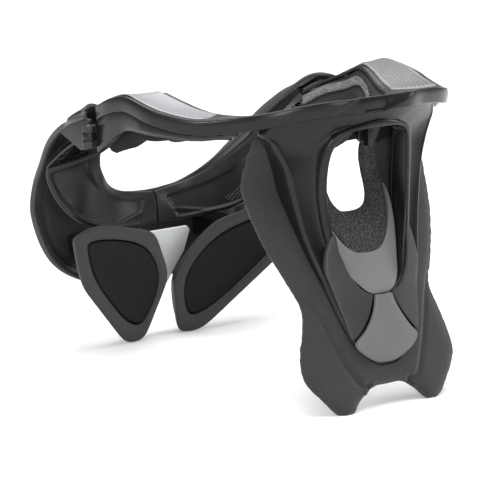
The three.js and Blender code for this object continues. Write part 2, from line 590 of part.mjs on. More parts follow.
// Lattice ribs in the open hinge end, joined into one piece; its band along the neck edge is thick
// enough to meet the shell
const latticeRows = 3;
const latticeColumns = 2;
const latticeStart = 0.015;
const ribRun = 0.02;
const neckBand = 0.28;
function latticeStrip(start, end, from, to, rows, wall) {
  const sheet = armSheet(neckEdge, lowEdge, 0, start, end, from, to, rows, 1);
  return solid(slab(sheet, raised(sheet, () => wall)));
}
let lattice = latticeStrip(latticeStart, latticeEnd, 0, neckBand, 5, linerWall);
for (let i = 0; i <= latticeRows; i += 1) {
  const start = latticeStart + ((latticeEnd - latticeStart - ribRun) * i) / latticeRows;
  lattice = lattice.add(latticeStrip(start, start + ribRun, neckBand - 0.08, 1, 1, shellWall));
}
for (let j = 1; j <= latticeColumns; j += 1) {
  const from = neckBand + ((1 - ribWidthShare - neckBand) * j) / latticeColumns;
  lattice = lattice.add(latticeStrip(latticeStart, latticeEnd, from, from + ribWidthShare, 4, shellWall));
}
addPair('arm_lattice', geometryOf(lattice), 'satin');

// Hinge leaf on the arm, with its two lugs round the pin
const leafOutline = [
  { y: -0.592, z: 0.796 }, { y: -0.457, z: 0.863 }, { y: -0.37, z: 0.86 }, { y: -0.37, z: 0.765 },
  { y: -0.435, z: 0.755 },
];
const leafPoints = leafOutline.map((p) => new THREE.Vector2(p.y * frontReach, p.z * standHeight));
const leafSection = (x) => leafPoints.map((p) => new THREE.Vector3(x, p.x, p.y));
const leafX = hingeX - leafWall / 2;
const lugStep = lugHeight + gap * 2;
const leaf = solid(loft([leafSection(leafX - leafWall), leafSection(leafX)], leafPoints))
  .subtract(upright(lugRadius + lugClear, lugHeight + gap * 4, hingeX, hingeY, hingeZ, 16))
  .add(upright(lugRadius, lugHeight, hingeX, hingeY, hingeZ + lugStep))
  .add(upright(lugRadius, lugHeight, hingeX, hingeY, hingeZ - lugStep))
  .subtract(lugBore);
addPair('hinge_leaf', geometryOf(leaf), 'grey');
addPair('hinge_pin', geometryOf(upright(pinRadius, lugHeight * 3.4, hingeX, hingeY, hingeZ)), 'steel');

// Small hump over the hinge end of the arm
const capWall = 1.5;
const capHeight = 3.5;
const capStart = 0.72; // share across the shell, from its neck edge to its rim
const capSheet = armSheet(shellNeck, rimEdge, armBulge, 0.035, 0.15, capStart, 1, 4, 8);
const capFoot = (v) => shellThickness(capStart + (1 - capStart) * v) + seatGap;
addPair('arm_cap', slab(raised(capSheet, capFoot), raised(capSheet,
  (v) => capFoot(v) + capWall + capHeight * Math.sin(Math.PI * v))), 'satin');

// Chest pads: a tilted face cut to outline, with a sunk insert
const chestFace = (x, z) => chestTurn * x + chestLean * z - chestSet;
const chestHalf = [
  { x: 0.014, z: 0.466 }, { x: 0.24, z: 0.85 }, { x: 0.6, z: 0.95 }, { x: 0.81, z: 0.997 },
  { x: 0.985, z: 0.945 }, { x: 0.99, z: 0.9 }, { x: 0.827, z: 0.53 }, { x: 0.345, z: 0.03 },
  { x: 0.28, z: 0.0 }, { x: 0.17, z: 0.0 }, { x: 0.13, z: 0.035 },
];
const chestOutline = chestHalf.map((p) => ({ x: p.x * chestHalfWidth, z: p.z * chestHeight }));
function shrunk(outline, margin) {
  const middle = { x: 0, z: 0 };
  for (const p of outline) {
    middle.x += p.x / outline.length;
    middle.z += p.z / outline.length;
  }
  return outline.map((p) => {
    const reach = Math.hypot(p.x - middle.x, p.z - middle.z);
    const factor = (reach - margin) / reach;
    return { x: middle.x + (p.x - middle.x) * factor, z: middle.z + (p.z - middle.z) * factor };
  });
}
const insertOutline = shrunk(chestOutline, insertMargin);
const chestSlab = (outline, holes, sink, wall) => backPiece(outline, holes,
  (x, z) => chestFace(x, z) - sink, (x, z) => chestFace(x, z) - sink - wall, 1, 1);
addPair('chest_pad_frame', geometryOf(chestSlab(chestOutline, [shrunk(insertOutline, -gap * 2)], 0,
  chestPadWall)), 'rubber');
addPair('chest_pad_insert', geometryOf(chestSlab(insertOutline, [], insertSink,
  chestPadWall - insertSink)), 'insert');

// Stems that carry the chest pads from the shells
const stemFrom = { x: 0.52, z: 0.72 };
const stemWidth = 26;
const stemHeight = 16;
const stemReach = 80; // longer than the way from pad to shell, then cut to both
const stemBehind = 10; // its middle ahead of the pad's face at the floor
const stem = block(stemWidth, stemReach, stemHeight, stemFrom.x * chestHalfWidth, -chestSet - stemBehind,
  stemFrom.z * chestHeight);
const padRoomSide = ringHalfWidth + 60; // a cutting slab wider, taller and deeper than the pads
const padRoomLow = -20;
const padRoomOutline = [
  { x: padRoomLow, z: padRoomLow }, { x: padRoomSide, z: padRoomLow }, { x: padRoomSide, z: padRoomSide },
  { x: padRoomLow, z: padRoomSide },
];
const padRoom = chestSlab(padRoomOutline, [], -padRoomSide, padRoomSide + chestPadWall + gap);
const shellOutside = solid(slab(raised(shellSheet, () => -gap), raised(shellSheet, () => 90)));
addPair('pad_stem', geometryOf(stem.subtract(padRoom).subtract(shellOutside)), 'satin');

// White plate across the front middle, carried by a boss on the left arm's shell
const latchHalf = [
  { x: 0, z: 0.822 }, { x: 0.85, z: 0.822 }, { x: 1, z: 0.79 }, { x: 0.93, z: 0.62 }, { x: 0.4, z: 0.37 },
  { x: 0.2, z: 0.356 }, { x: 0, z: 0.356 },
];
const latchSink = chestPadWall + latchRun;
const latchBoss = { width: 12, height: 14, x: 8, z: 66 };
const latchBack = (x, z) => chestFace(0, z) - latchSink;
const latchBody = backPiece(wholeOutline(latchHalf, latchHalfWidth, chestHeight), [], latchBack,
  (x, z) => latchBack(x, z) - latchWall, 1, 1);
const bossRoom = backPiece(padRoomOutline, [], (x, z) => latchBack(x, z) + padRoomSide,
  (x, z) => latchBack(x, z) - latchWall / 2, 1, 1);
const boss = block(latchBoss.width, stemReach, latchBoss.height, latchBoss.x, -chestSet - stemBehind,
  latchBoss.z)
  .subtract(bossRoom).subtract(shellOutside);
add('latch_plate', geometryOf(latchBody.add(boss)), 'plate');

// Centre the brace over the origin, standing on it
const box = new THREE.Box3().setFromObject(brace);
brace.position.set(0, -(box.min.y + box.max.y) / 2, -box.min.z);

export default brace;
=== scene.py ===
import json
import math

import bmesh
import bpy
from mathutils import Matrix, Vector
from mathutils.bvhtree import BVHTree
from mathutils.kdtree import KDTree


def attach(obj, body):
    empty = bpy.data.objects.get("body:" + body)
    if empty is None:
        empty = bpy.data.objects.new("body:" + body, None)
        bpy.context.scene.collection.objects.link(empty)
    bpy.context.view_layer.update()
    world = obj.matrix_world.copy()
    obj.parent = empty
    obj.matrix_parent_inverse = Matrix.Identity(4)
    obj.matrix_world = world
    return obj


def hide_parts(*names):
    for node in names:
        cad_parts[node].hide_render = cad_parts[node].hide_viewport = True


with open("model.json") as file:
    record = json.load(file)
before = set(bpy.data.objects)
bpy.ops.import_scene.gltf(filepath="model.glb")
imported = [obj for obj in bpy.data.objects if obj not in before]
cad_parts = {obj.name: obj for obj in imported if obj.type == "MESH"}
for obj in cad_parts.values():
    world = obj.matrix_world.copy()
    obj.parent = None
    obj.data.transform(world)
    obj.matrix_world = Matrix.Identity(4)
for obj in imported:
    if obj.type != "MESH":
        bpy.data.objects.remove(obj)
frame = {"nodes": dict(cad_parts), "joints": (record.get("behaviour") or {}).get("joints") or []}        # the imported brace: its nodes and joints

# A motocross neck brace: satin nylon shells, rubber liners and pads, a woven back pad.
# Lengths are in millimetres until a point is placed, which turns it to the frame's metres.
print("frame loaded")
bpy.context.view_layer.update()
nodes = frame["nodes"]
mm = 0.001

brace = {
    "ringHalfWidth": 140,      # centre line to the ring's widest point
    "rearReach": 140,          # neck's middle to the ring's rear edge
    "frontReach": 176,         # neck's middle to the foremost rim
    "standHeight": 247,        # floor to the ring's rear edge
    "strutHalfWidth": 88,
    "hingeY": -63,
    "sideDepth": 38,
    "skirtHeight": 13,
    "shellWall": 3,
    "gap": 0.3,
}
rearShift = frame["joints"][0]["pos_m"][1] / mm - brace["hingeY"]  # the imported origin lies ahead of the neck


def toFrame(x, y, z):
    return Vector((x, y + rearShift, z)) * mm


def fade(value, start, end):   # 0 before start, 1 after end, smooth between
    share = min(max((value - start) / (end - start), 0), 1)
    return share * share * (3 - 2 * share)


def smoothAt(points, share):   # a point on the smooth curve through points, by its share of their spans
    last = len(points) - 1
    step = min(int(share * last), last - 1)
    part = share * last - step
    b, c = points[step], points[step + 1]
    a = points[step - 1] if step > 0 else b * 2 - c
    d = points[step + 2] if step + 2 <= last else c * 2 - b
    before, here, after = (max((q - p).length, 1e-4) ** 0.5 for p, q in ((a, b), (b, c), (c, d)))
    leave = ((b - a) / before - (c - a) / (before + here) + (c - b) / here) * here
    reach = ((c - b) / here - (d - b) / (here + after) + (d - c) / after) * here
    return (b + leave * part + (c * 3 - b * 3 - leave * 2 - reach) * part ** 2
            + (b * 2 - c * 2 + leave + reach) * part ** 3)


def valueAt(values, share):    # the same for a list of numbers
    return smoothAt([Vector((index, value, 0)) for index, value in enumerate(values)], share).y


# Materials

def linear(hexColour):         # sRGB hex to the linear colour that a shader takes
    channels = [int(hexColour[i:i + 2], 16) / 255 for i in (1, 3, 5)]
    return [c / 12.92 if c <= 0.04045 else ((c + 0.055) / 1.055) ** 2.4 for c in channels] + [1]


def addNode(tree, kind, settings=None, links=None):
    node = tree.nodes.new(kind)
    for name, value in (settings or {}).items():
        if isinstance(name, str) and hasattr(node, name):
            setattr(node, name, value)
        else:
            node.inputs[name].default_value = value
    for name, source in (links or {}).items():
        tree.links.new(source, node.inputs[name])
    return node


def newMaterial(name, look):
    material = bpy.data.materials.new(name)
    material.use_nodes = True
    tree = material.node_tree
    shader = tree.nodes["Principled BSDF"]
    shader.inputs["Roughness"].default_value = look["roughness"]
    shader.inputs["Metallic"].default_value = look.get("metallic", 0)
    shader.inputs["IOR"].default_value = look.get("ior", 1.45)
    shader.inputs["Specular IOR Level"].default_value = look.get("specular", 0.4)
    shader.inputs["Sheen Weight"].default_value = look.get("sheen", 0)
    place = addNode(tree, "ShaderNodeTexCoord").outputs["Object"]
    return material, tree, shader, place


def emboss(tree, shader, height, strength, depth):     # bumps from a node's height, depth in metres
    bump = addNode(tree, "ShaderNodeBump", {"Strength": strength, "Distance": depth}, {"Height": height})
    tree.links.new(bump.outputs["Normal"], shader.inputs["Normal"])


def blend(tree, shader, low, high, factor):    # a base colour between two hex colours
    colour = addNode(tree, "ShaderNodeMix", {"data_type": "RGBA", 6: linear(low), 7: linear(high)},
                     {0: factor})
    tree.links.new(colour.outputs[2], shader.inputs["Base Color"])


mottling = {"driftMm": 30, "roughSpread": 0.08}


def mottle(tree, shader, place, look):   # soft drift of colour and roughness over a moulding
    drift = addNode(tree, "ShaderNodeTexNoise", {"Scale": 1 / (mottling["driftMm"] * mm), "Detail": 3},
                    {"Vector": place})
    blend(tree, shader, look["colour"], look["worn"], drift.outputs["Fac"])
    spread = mottling["roughSpread"]
    rough = addNode(tree, "ShaderNodeMapRange", {"To Min": look["roughness"] - spread,
                                                 "To Max": look["roughness"] + spread},
                    {"Value": drift.outputs["Fac"]})
    tree.links.new(rough.outputs["Result"], shader.inputs["Roughness"])


def moulded(name, look):       # moulded plastic or rubber: a fine eroded grain with a soft drift of gloss
    material, tree, shader, place = newMaterial(name, look)
    mottle(tree, shader, place, look)
    grain = addNode(tree, "ShaderNodeTexNoise",
                    {"Scale": 1 / (look["grainMm"] * mm), "Detail": 4, "Roughness": 0.6}, {"Vector": place})
    emboss(tree, shader, grain.outputs["Fac"], look["grainStrength"], look["grainMm"] * mm * 0.2)
    return material


def weave(name, look):         # woven cloth: crossing threads as a diagonal field of small humps
    material, tree, shader, place = newMaterial(name, look)
    turned = addNode(tree, "ShaderNodeMapping", {"Rotation": (0, math.radians(look["turn"]), 0)},
                     {"Vector": place})
    parts = addNode(tree, "ShaderNodeSeparateXYZ", links={"Vector": turned.outputs["Vector"]})
    waves = []
    for axis in "XZ":
        turns = addNode(tree, "ShaderNodeMath",
                        {"operation": "MULTIPLY", 1: math.pi / (look["threadMm"] * mm)},
                        {0: parts.outputs[axis]})
        wave = addNode(tree, "ShaderNodeMath", {"operation": "SINE"}, {0: turns.outputs[0]})
        waves.append(addNode(tree, "ShaderNodeMath", {"operation": "ABSOLUTE"}, {0: wave.outputs[0]}))
    hump = addNode(tree, "ShaderNodeMath", {"operation": "MULTIPLY"},
                   {0: waves[0].outputs[0], 1: waves[1].outputs[0]})
    drift = addNode(tree, "ShaderNodeTexNoise", {"Scale": 1 / (look["driftMm"] * mm), "Detail": 5},
                    {"Vector": place})
    mixed = addNode(tree, "ShaderNodeMath", {"operation": "MULTIPLY_ADD", 1: 0.35},
                    {0: drift.outputs["Fac"], 2: hump.outputs[0]})
    ramp = addNode(tree, "ShaderNodeMapRange", {"From Min": 0.2, "From Max": 1.1},
                   {"Value": mixed.outputs[0]})
    blend(tree, shader, look["gapColour"], look["colour"], ramp.outputs["Result"])
    emboss(tree, shader, hump.outputs[0], look["relief"], look["threadMm"] * mm * 0.3)
    return material


def speckle(name, look):       # cut foam or coarse knit: dark pits between pale specks
    material, tree, shader, place = newMaterial(name, look)
    cells = addNode(tree, "ShaderNodeTexVoronoi", {"Scale": 1 / (look["speckMm"] * mm), "Randomness": 1},
                    {"Vector": place})
    fine = addNode(tree, "ShaderNodeTexNoise", {"Scale": 2.2 / (look["speckMm"] * mm), "Detail": 2},
                   {"Vector": place})
    both = addNode(tree, "ShaderNodeMath", {"operation": "MULTIPLY"},
                   {0: cells.outputs["Distance"], 1: fine.outputs["Fac"]})
    ramp = addNode(tree, "ShaderNodeMapRange", {"From Min": 0.1, "From Max": 0.42},
                   {"Value": both.outputs[0]})
    blend(tree, shader, look["colour"], look["speckColour"], ramp.outputs["Result"])
    emboss(tree, shader, both.outputs[0], look["relief"], look["speckMm"] * mm * 0.4)
    return material


finish = {
    # glass-filled nylon, moulded in a satin tool: near black with soft wide highlights
    "nylon": moulded("satinNylon", {"colour": "#111112", "worn": "#161617", "roughness": 0.27,
                                    "specular": 0.3, "grainMm": 0.9, "grainStrength": 0.25}),
    # the same nylon with a greyer tint, used for hinge leaves
    "greyNylon": moulded("greyNylon", {"colour": "#1e1f21", "worn": "#252628", "roughness": 0.45,
                                       "grainMm": 0.9, "grainStrength": 0.25}),
    # the same nylon painted a lighter dark grey on the arm shells: painted light for their insides, which
    # catch little lamp light
    "armNylonPaintedLight": moulded("armNylonPaintedLight", {"colour": "#303031", "worn": "#373738", "roughness": 0.38,
                                     "grainMm": 0.9, "grainStrength": 0.25}),
    # silver lacquer over a ribbed plate: bright and slightly metallic
    "silver": moulded("silverLacquer", {"colour": "#8e8f92", "worn": "#98999c", "roughness": 0.36,
                                        "metallic": 0.3, "grainMm": 0.5, "grainStrength": 0.15}),
    # the ribbed plate's lacquer, painted darker all over: painted shade for the shade between its ribs
    "shadedRibbedSilver": moulded("ribbedLacquerPaintedShade", {"colour": "#6f7072", "worn": "#7a7b7d", "roughness": 0.3,
                                              "metallic": 0.3, "grainMm": 0.5, "grainStrength": 0.15}),
    # thermoplastic rubber of the neck liners: darker, softer sheen than the nylon
    "liner": moulded("linerRubber", {"colour": "#19191a", "worn": "#1e1e1f", "roughness": 0.4,
                                     "specular": 0.3, "grainMm": 1.2, "grainStrength": 0.3}),
    # soft moulded rubber of the chest pads: mid grey and lightly textured
    "padRubber": moulded("padRubber", {"colour": "#28282a", "worn": "#2e2e30", "roughness": 0.62,
                                       "grainMm": 1.6, "grainStrength": 0.6}),
    # foam rubber insert with a skin: bluish black, quite matt; also laid on near-black strips as painted shade
    # in slots, gaps and under the collar's skirt
    "insert": moulded("insertFoamRubber", {"colour": "#0b0b0e", "worn": "#0f0f12", "roughness": 0.75,
                                           "specular": 0.2, "grainMm": 1.0, "grainStrength": 0.35}),
    # white ABS plate with a satin tool finish
    "white": moulded("whiteAbs", {"colour": "#babcbe", "worn": "#c4c6c8", "roughness": 0.34, "grainMm": 0.8,
                                  "grainStrength": 0.1}),
    "shield": moulded("shieldAbs", {"colour": "#59595a", "worn": "#606162", "roughness": 0.48,
                                    "grainMm": 0.9, "grainStrength": 0.3}),
    "spine": moulded("spineAbs", {"colour": "#636363", "worn": "#6a6a6a", "roughness": 0.5, "grainMm": 0.9,
                                  "grainStrength": 0.3}),
    "panel": moulded("panelAbs", {"colour": "#272728", "worn": "#2d2d2e", "roughness": 0.46, "grainMm": 0.9,
                                  "grainStrength": 0.3}),
    # drawn steel pins: bright with a fine turned grain
    "steel": moulded("drawnSteel", {"colour": "#8e9194", "worn": "#a3a6a9", "roughness": 0.3, "metallic": 1,
                                    "ior": 1.45, "grainMm": 0.5, "grainStrength": 0.2}),
    # woven polyester on the back pad, threads drawn at 1.5 mm so that they show
    "woven": weave("wovenPolyester", {"colour": "#363637", "gapColour": "#1a1a1b", "roughness": 0.85,
                                      "sheen": 0.15, "turn": 38, "threadMm": 1.5, "driftMm": 3,
                                      "relief": 0.7}),
    # open mesh cloth over the liner's recess, holes drawn at 2.4 mm
    "mesh": weave("meshCloth", {"colour": "#4a4a4d", "gapColour": "#0c0c0d", "roughness": 0.8, "turn": 45,
                                "threadMm": 2.4, "driftMm": 2, "relief": 1.0}),
    # knitted band on the ring's liner: pale specks in a dark ground, 0.9 mm
    "knit": speckle("knittedBand", {"colour": "#262627", "speckColour": "#8a8a8c", "roughness": 0.9,
                                    "speckMm": 0.9, "relief": 0.8}),
    # cut polyurethane foam with open cells, 1.4 mm
    "foam": speckle("cellFoam", {"colour": "#0e0e0f", "speckColour": "#464647", "roughness": 0.92,
                                 "speckMm": 1.4, "relief": 0.9}),
    # skinned foam under the shoulders: dark navy
    "skinFoam": speckle("skinnedFoam", {"colour": "#0b0c0f", "speckColour": "#131418", "roughness": 0.85,
                                        "specular": 0.2, "speckMm": 1.2, "relief": 0.35}),
}
print("materials made")


# Making and finishing pieces

def keep(name, bm, material, body, stands=(), smooth=True):
    mesh = bpy.data.meshes.new(name)
    bm.to_mesh(mesh)
    bm.free()
    for polygon in mesh.polygons:
        polygon.use_smooth = smooth
    mesh.materials.append(material)
    piece = bpy.data.objects.new(name, mesh)
    bpy.context.scene.collection.objects.link(piece)
    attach(piece, body)
    if stands:
        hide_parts(*stands)
    return piece


def subdivide(piece, levels):
    modifier = piece.modifiers.new("smooth", "SUBSURF")
    modifier.levels = levels
    modifier.render_levels = levels


def baked(piece):              # the modifiers become the mesh
    graph = bpy.context.evaluated_depsgraph_get()
    mesh = bpy.data.meshes.new_from_object(piece.evaluated_get(graph))
    piece.modifiers.clear()
    piece.data = mesh
    return piece


def roundEdges(bm, width, steps, fromAngle=32):
    edges = [edge for edge in bm.edges if len(edge.link_faces) == 2
             and math.radians(fromAngle) < edge.calc_face_angle(0) < math.pi]
    bmesh.ops.bevel(bm, geom=edges, offset=width * mm, segments=steps, profile=0.5, affect="EDGES",
                    material=-1, clamp_overlap=True)


def nodeCopy(node, joinAngle=25):   # a frame node's own mesh, merged, with its triangles paired to quads
    bm = bmesh.new()
    bm.from_mesh(nodes[node].data)
    bmesh.ops.remove_doubles(bm, verts=bm.verts, dist=0.01 * mm)
    bmesh.ops.join_triangles(bm, faces=bm.faces, angle_face_threshold=math.radians(joinAngle),
                             angle_shape_threshold=math.radians(120))
    return bm


def cornersIn(geometry):
    return [part for part in geometry if isinstance(part, bmesh.types.BMVert)]


def sheetBody(along, across, face, front, back):
    # a closed body between two layers of face(u, v, layer), where u and v are shares from 0 to 1
    bm = bmesh.new()
    bmesh.ops.create_grid(bm, x_segments=along, y_segments=across, size=0.5)
    second = bmesh.ops.extrude_face_region(bm, geom=bm.faces[:])["geom"]
    bmesh.ops.translate(bm, vec=(0, 0, 1), verts=cornersIn(second))
    for corner in bm.verts:
        layer = back if corner.co.z > 0.5 else front
        corner.co = toFrame(*face(corner.co.x + 0.5, corner.co.y + 0.5, layer))
    bmesh.ops.recalc_face_normals(bm, faces=bm.faces)
    return bm


def mirrored(bm):              # the same body on the other side
    other = bm.copy()
    bmesh.ops.scale(other, vec=(-1, 1, 1), verts=other.verts)
    bmesh.ops.reverse_faces(other, faces=other.faces)
    return other


def keepBoth(name, bm, material, body, stands=""):   # a left-hand body and its mirror image
    pieces = []
    for side, part in (("right", mirrored(bm)), ("left", bm)):
        stood = [stands.format(side)] if stands else []
        pieces.append(keep(name.format(side), part, material, body.format(side), stood))
    return pieces


def closedCurve(points, count):     # evenly numbered points on a smooth closed curve of [x, z] pairs
    ring = [Vector((x, 0, z)) for x, z in points]
    whole = ring[-2:] + ring + ring[:3]
    spans = len(whole) - 1
    return [smoothAt(whole, (2 + len(ring) * k / count) / spans) for k in range(count)]


def plateBody(outline, surface, wall, profile, cell=7.0):
    # a plate from a flat outline of [x, z] points: profile steps in from its edge with a rise at each
    # step, then surface(x, z) gives how far back its face lies, in millimetres
    bm = bmesh.new()
    rise = bm.verts.layers.float.new("rise")
    bm.faces.new([bm.verts.new((x, 0, z)) for x, z in outline])
    bm.faces.ensure_lookup_table()
    inner = bm.faces[0]
    lift = 0
    for step, change in profile:
        bmesh.ops.inset_region(bm, faces=[inner], thickness=step, use_even_offset=True, use_boundary=True)
        lift += change
        for corner in inner.verts:
            corner[rise] = lift
    for axis in (0, 2):
        low = min(corner.co[axis] for corner in bm.verts)
        high = max(corner.co[axis] for corner in bm.verts)
        count = int((high - low) / cell)
        for index in range(1, count + 1):
            spot, way = Vector(), Vector()
            spot[axis] = low + (high - low) * (index - 0.5 * (count > 1)) / (count + (count < 2))
            way[axis] = 1
            bmesh.ops.bisect_plane(bm, geom=bm.verts[:] + bm.edges[:] + bm.faces[:], dist=1e-4,
                                   plane_co=spot, plane_no=way)
    second = bmesh.ops.extrude_face_region(bm, geom=bm.faces[:])["geom"]
    bmesh.ops.translate(bm, vec=(0, 1, 0), verts=cornersIn(second))
    for corner in bm.verts:
        x, z = corner.co.x, corner.co.z
        depth = -wall if corner.co.y > 0.5 else corner[rise]
        corner.co = toFrame(x, surface(x, z) + depth, z)
    bmesh.ops.recalc_face_normals(bm, faces=bm.faces)
    return bm


# Neck ring: places on its section, shared by the plates, the liner's band and the collar's details

ringRows = [                   # rear middle to hinge, as shares of the half width, reach and height
    (0, 1, 1, 0, 0.571, 0.919),
    (0.18, 1, 1, 0.13, 0.564, 0.919),
    (0.33, 0.92, 0.994, 0.24, 0.545, 0.918),
    (0.49, 0.857, 0.984, 0.35, 0.51, 0.916),
    (0.62, 0.786, 0.968, 0.44, 0.455, 0.915),
    (0.75, 0.664, 0.951, 0.52, 0.385, 0.915),
    (0.843, 0.536, 0.937, 0.58, 0.31, 0.916),
    (0.914, 0.414, 0.931, 0.62, 0.235, 0.92),
    (0.971, 0.243, 0.939, 0.65, 0.14, 0.931),
    (1, 0.129, 0.951, 0.675, 0.07, 0.944),
    (1, 0.014, 0.963, 0.7, 0, 0.957),
    (0.993, -0.085, 0.972, 0.714, -0.068, 0.968),
    (0.986, -0.205, 0.951, 0.707, -0.155, 0.937),
    (0.97, -0.27, 0.932, 0.7, -0.3, 0.9),
    (0.95, -0.33, 0.915, 0.7, -0.466, 0.846),
]


def share(x, y, z):            # a place from shares of the half width, the reach and the height
    reach = brace["rearReach"] if y > 0 else brace["frontReach"]
    return Vector((x * brace["ringHalfWidth"], y * reach, z * brace["standHeight"]))


ringOuter = [share(*row[:3]) for row in ringRows]
ringInner = [share(*row[3:]) for row in ringRows]
ringEnd = len(ringRows) - 1


def ringPoint(row, across, rise, inset=0):   # across 0 at the neck to 1 at the rim, rise in mm
    inner = smoothAt(ringInner, row / ringEnd)
    outer = smoothAt(ringOuter, row / ringEnd)
    point = inner.lerp(outer, across - inset / (outer - inner).length)
    return point + Vector((0, 0, rise))


collar = {
    "edge": 0.9,               # rounding of its edges
    "recess": 2.2,             # how far the rear of its band is set in
    "recessOver": (128, 134),  # where along y it sets in
    "kinks": [(25, 1.5), (-31, 2.6)],      # the rim's corners beside it: x, and its change for each mm down
    "slot": {"x": -2.0, "width": 2.0, "top": 2.0, "bottom": 12.5},
    "pocket": {"run": 21, "down": 11.2, "height": 0.9, "slope": 0.6},
}


def makeCollar():
    bm = nodeCopy("collar_shell")
    roundEdges(bm, collar["edge"], 2)
    piece = keep("collar_shell_skin", bm, finish["nylon"], "frame", ["collar_shell"])
    subdivide(piece, 2)
    baked(piece)
    rim = brace["standHeight"] * mm
    for corner in piece.data.vertices:
        x, y, z = corner.co.x / mm, corner.co.y / mm - rearShift, corner.co.z / mm
        if y < 105 or abs(x) > 60:
            continue
        down = min(max(rim / mm - z, 0), brace["skirtHeight"])
        leftKink, rightKink = [kink + slant * down for kink, slant in collar["kinks"]]
        left = fade(x, leftKink + 1, leftKink - 3)
        right = fade(x, rightKink - 2, rightKink + 3)
        band = fade(y, *collar["recessOver"])
        corner.co.y -= collar["recess"] * left * right * band * mm
    return piece


def rimPoint(x, down, out):    # on the rear band of the collar, down from its rim, out from its face
    row = abs(x) / brace["ringHalfWidth"]
    spot = next(k for k in range(ringEnd) if ringRows[k + 1][0] > row)
    part = (row - ringRows[spot][0]) / (ringRows[spot + 1][0] - ringRows[spot][0])
    y = ringOuter[spot].lerp(ringOuter[spot + 1], part)
    return Vector((x, y.y + out, y.z - down))


def makeCollarSlot():          # near-black strips for the short upright slot and the pocket line in the rear recess: painted shade in place of their openings
    spec, pocket = collar["slot"], collar["pocket"]
    out = -collar["recess"] + 0.8

    def upright(u, v, lift):
        x = spec["x"] + (v - 0.5) * spec["width"] - 0.4 * math.sin(u * math.pi)
        return rimPoint(x, spec["top"] + (spec["bottom"] - spec["top"]) * u, out + lift)

    bm = sheetBody(12, 2, upright, 0.35, -0.6)
    keep("collar_slot_shade", bm, finish["insert"], "frame")

    def level(u, v, lift):
        down = pocket["down"] + pocket["height"] * v + pocket["slope"] * u
        return rimPoint(spec["x"] + pocket["run"] * u, down, out + lift)

    bm = sheetBody(12, 2, level, 0.3, -0.6)
    keep("collar_pocket_line_shade", bm, finish["insert"], "frame")


shoulderPlate = {"from": 6.5, "to": 12.5, "inner": 0.12, "outer": 0.9, "wall": 1.2, "dish": 1.5,
                 "ribs": {"right": 11, "left": 0}, "ribHeight": 1.1, "ribSteps": 66}


def makeShoulderPlates():
    spec = shoulderPlate

    def face(u, v, lift, ribs):
        row = spec["from"] + (spec["to"] - spec["from"]) * u
        across = spec["inner"] + (spec["outer"] - spec["inner"]) * v
        edge = min(min(u, 1 - u) * 90, min(v, 1 - v) * 36)      # millimetres from the nearest edge
        rib = spec["ribHeight"] * abs(math.sin(math.pi * ribs * v)) * fade(edge, 0.8, 5)
        soft = -0.7 * (1 - fade(edge, 0, 1.4)) * fade(lift, 0, spec["wall"])
        sag = spec["dish"] * 4 * across * (1 - across)
        return ringPoint(row, across, brace["gap"] + lift - sag + rib + soft)

    # the ribbed plate takes the lacquer painted darker, a painted shade for its grooves
    for side, ribs in spec["ribs"].items():
        bm = sheetBody(60, spec["ribSteps"], lambda u, v, lift: face(u, v, lift, ribs * (lift > 0)),
                       0, spec["wall"])
        if side == "right":
            bm = mirrored(bm)
        keep(f"shoulder_plate_{side}_ribbed", bm, finish["shadedRibbedSilver" if ribs else "silver"], "frame",
             [f"shoulder_plate_{side}"])


linerBand = {
    "outer": [(8.5, 26), (9, 17), (9.8, 11), (11, 9), (12.2, 6.5), (13.2, 5), (13.93, 5)],
    "inner": [(9.2, 26), (9.8, 21), (10.5, 17.5), (11.3, 16), (12.3, 13.5), (13.2, 12.5), (13.93, 13)],
    "bandWall": 1.6,
    "panelWall": 0.9,
    "base": 28,                # how far down the wall the band and its panel reach
}


def wallPoint(row, down, out):  # on the ring's neck-side wall, down from its top and out toward the neck
    return ringPoint(row, 0, -down, out)


def makeLinerBands():          # a knitted arch round a smooth panel on each side of the ring's liner
    spec = linerBand
    outer = [Vector((row, down, 0)) for row, down in spec["outer"]]
    inner = [Vector((row, down, 0)) for row, down in spec["inner"]]

    def band(u, v, out):
        spot = smoothAt(outer, u).lerp(smoothAt(inner, u), v)
        crown = math.sqrt(max(1 - (2 * v - 1) ** 4, 0))
        return wallPoint(spot.x, spot.y, 0.15 + out * crown)

    def panel(u, v, out):
        spot = smoothAt(inner, 0.02 + 0.98 * u) + Vector((0.06 * (1 - u), 0.7, 0))
        down = spot.y + (spec["base"] - spot.y) * v
        crown = fade(min(u, 1 - u) * 60, 0, 2) * fade(v * 14, 0, 2)
        return wallPoint(spot.x, max(down, spot.y), 0.15 + out * crown)

    pieces = {
        "liner_band": (sheetBody(56, 8, band, 0, spec["bandWall"]), "knit"),
        "liner_panel": (sheetBody(48, 8, panel, 0, spec["panelWall"]), "liner"),
    }
    for name, (bm, look) in pieces.items():
        keepBoth(name + "_{}", bm, finish[look], "frame")


ringLiner = {"from": 5.6, "to": 14, "wall": 7, "top": 3.7, "shallow": 12,
             "depths": [0.47, 0.47, 0.47, 0.47, 0.47, 0.47, 0.47, 0.52, 0.62, 0.77, 0.94, 1, 1, 1, 1]}


def makeRingLiners():          # the wall toward the neck; its lower edge rises behind the shoulder foam
    spec = ringLiner

    def wall(u, v, outer):
        row = spec["from"] + (spec["to"] - spec["from"]) * u
        depth = valueAt(spec["depths"], row / ringEnd) * brace["sideDepth"] + 2
        depth -= spec["shallow"] * fade(row, 9, 12.5)
        v = 0.5 - 0.5 * math.cos(math.pi * v)
        near = min(v, 1 - v) * (depth - spec["top"]) / 2.6
        drop = (1 - math.sqrt(max(1 - (1 - min(near, 1)) ** 2, 0))) * 2.2
        across = spec["wall"] - drop if outer else drop
        return ringPoint(row, 0, -spec["top"] - (depth - spec["top"]) * v, -across)

    bm = sheetBody(70, 24, wall, False, True)
    keepBoth("ring_liner_{}_moulded", bm, finish["liner"], "frame", "ring_liner_{}")


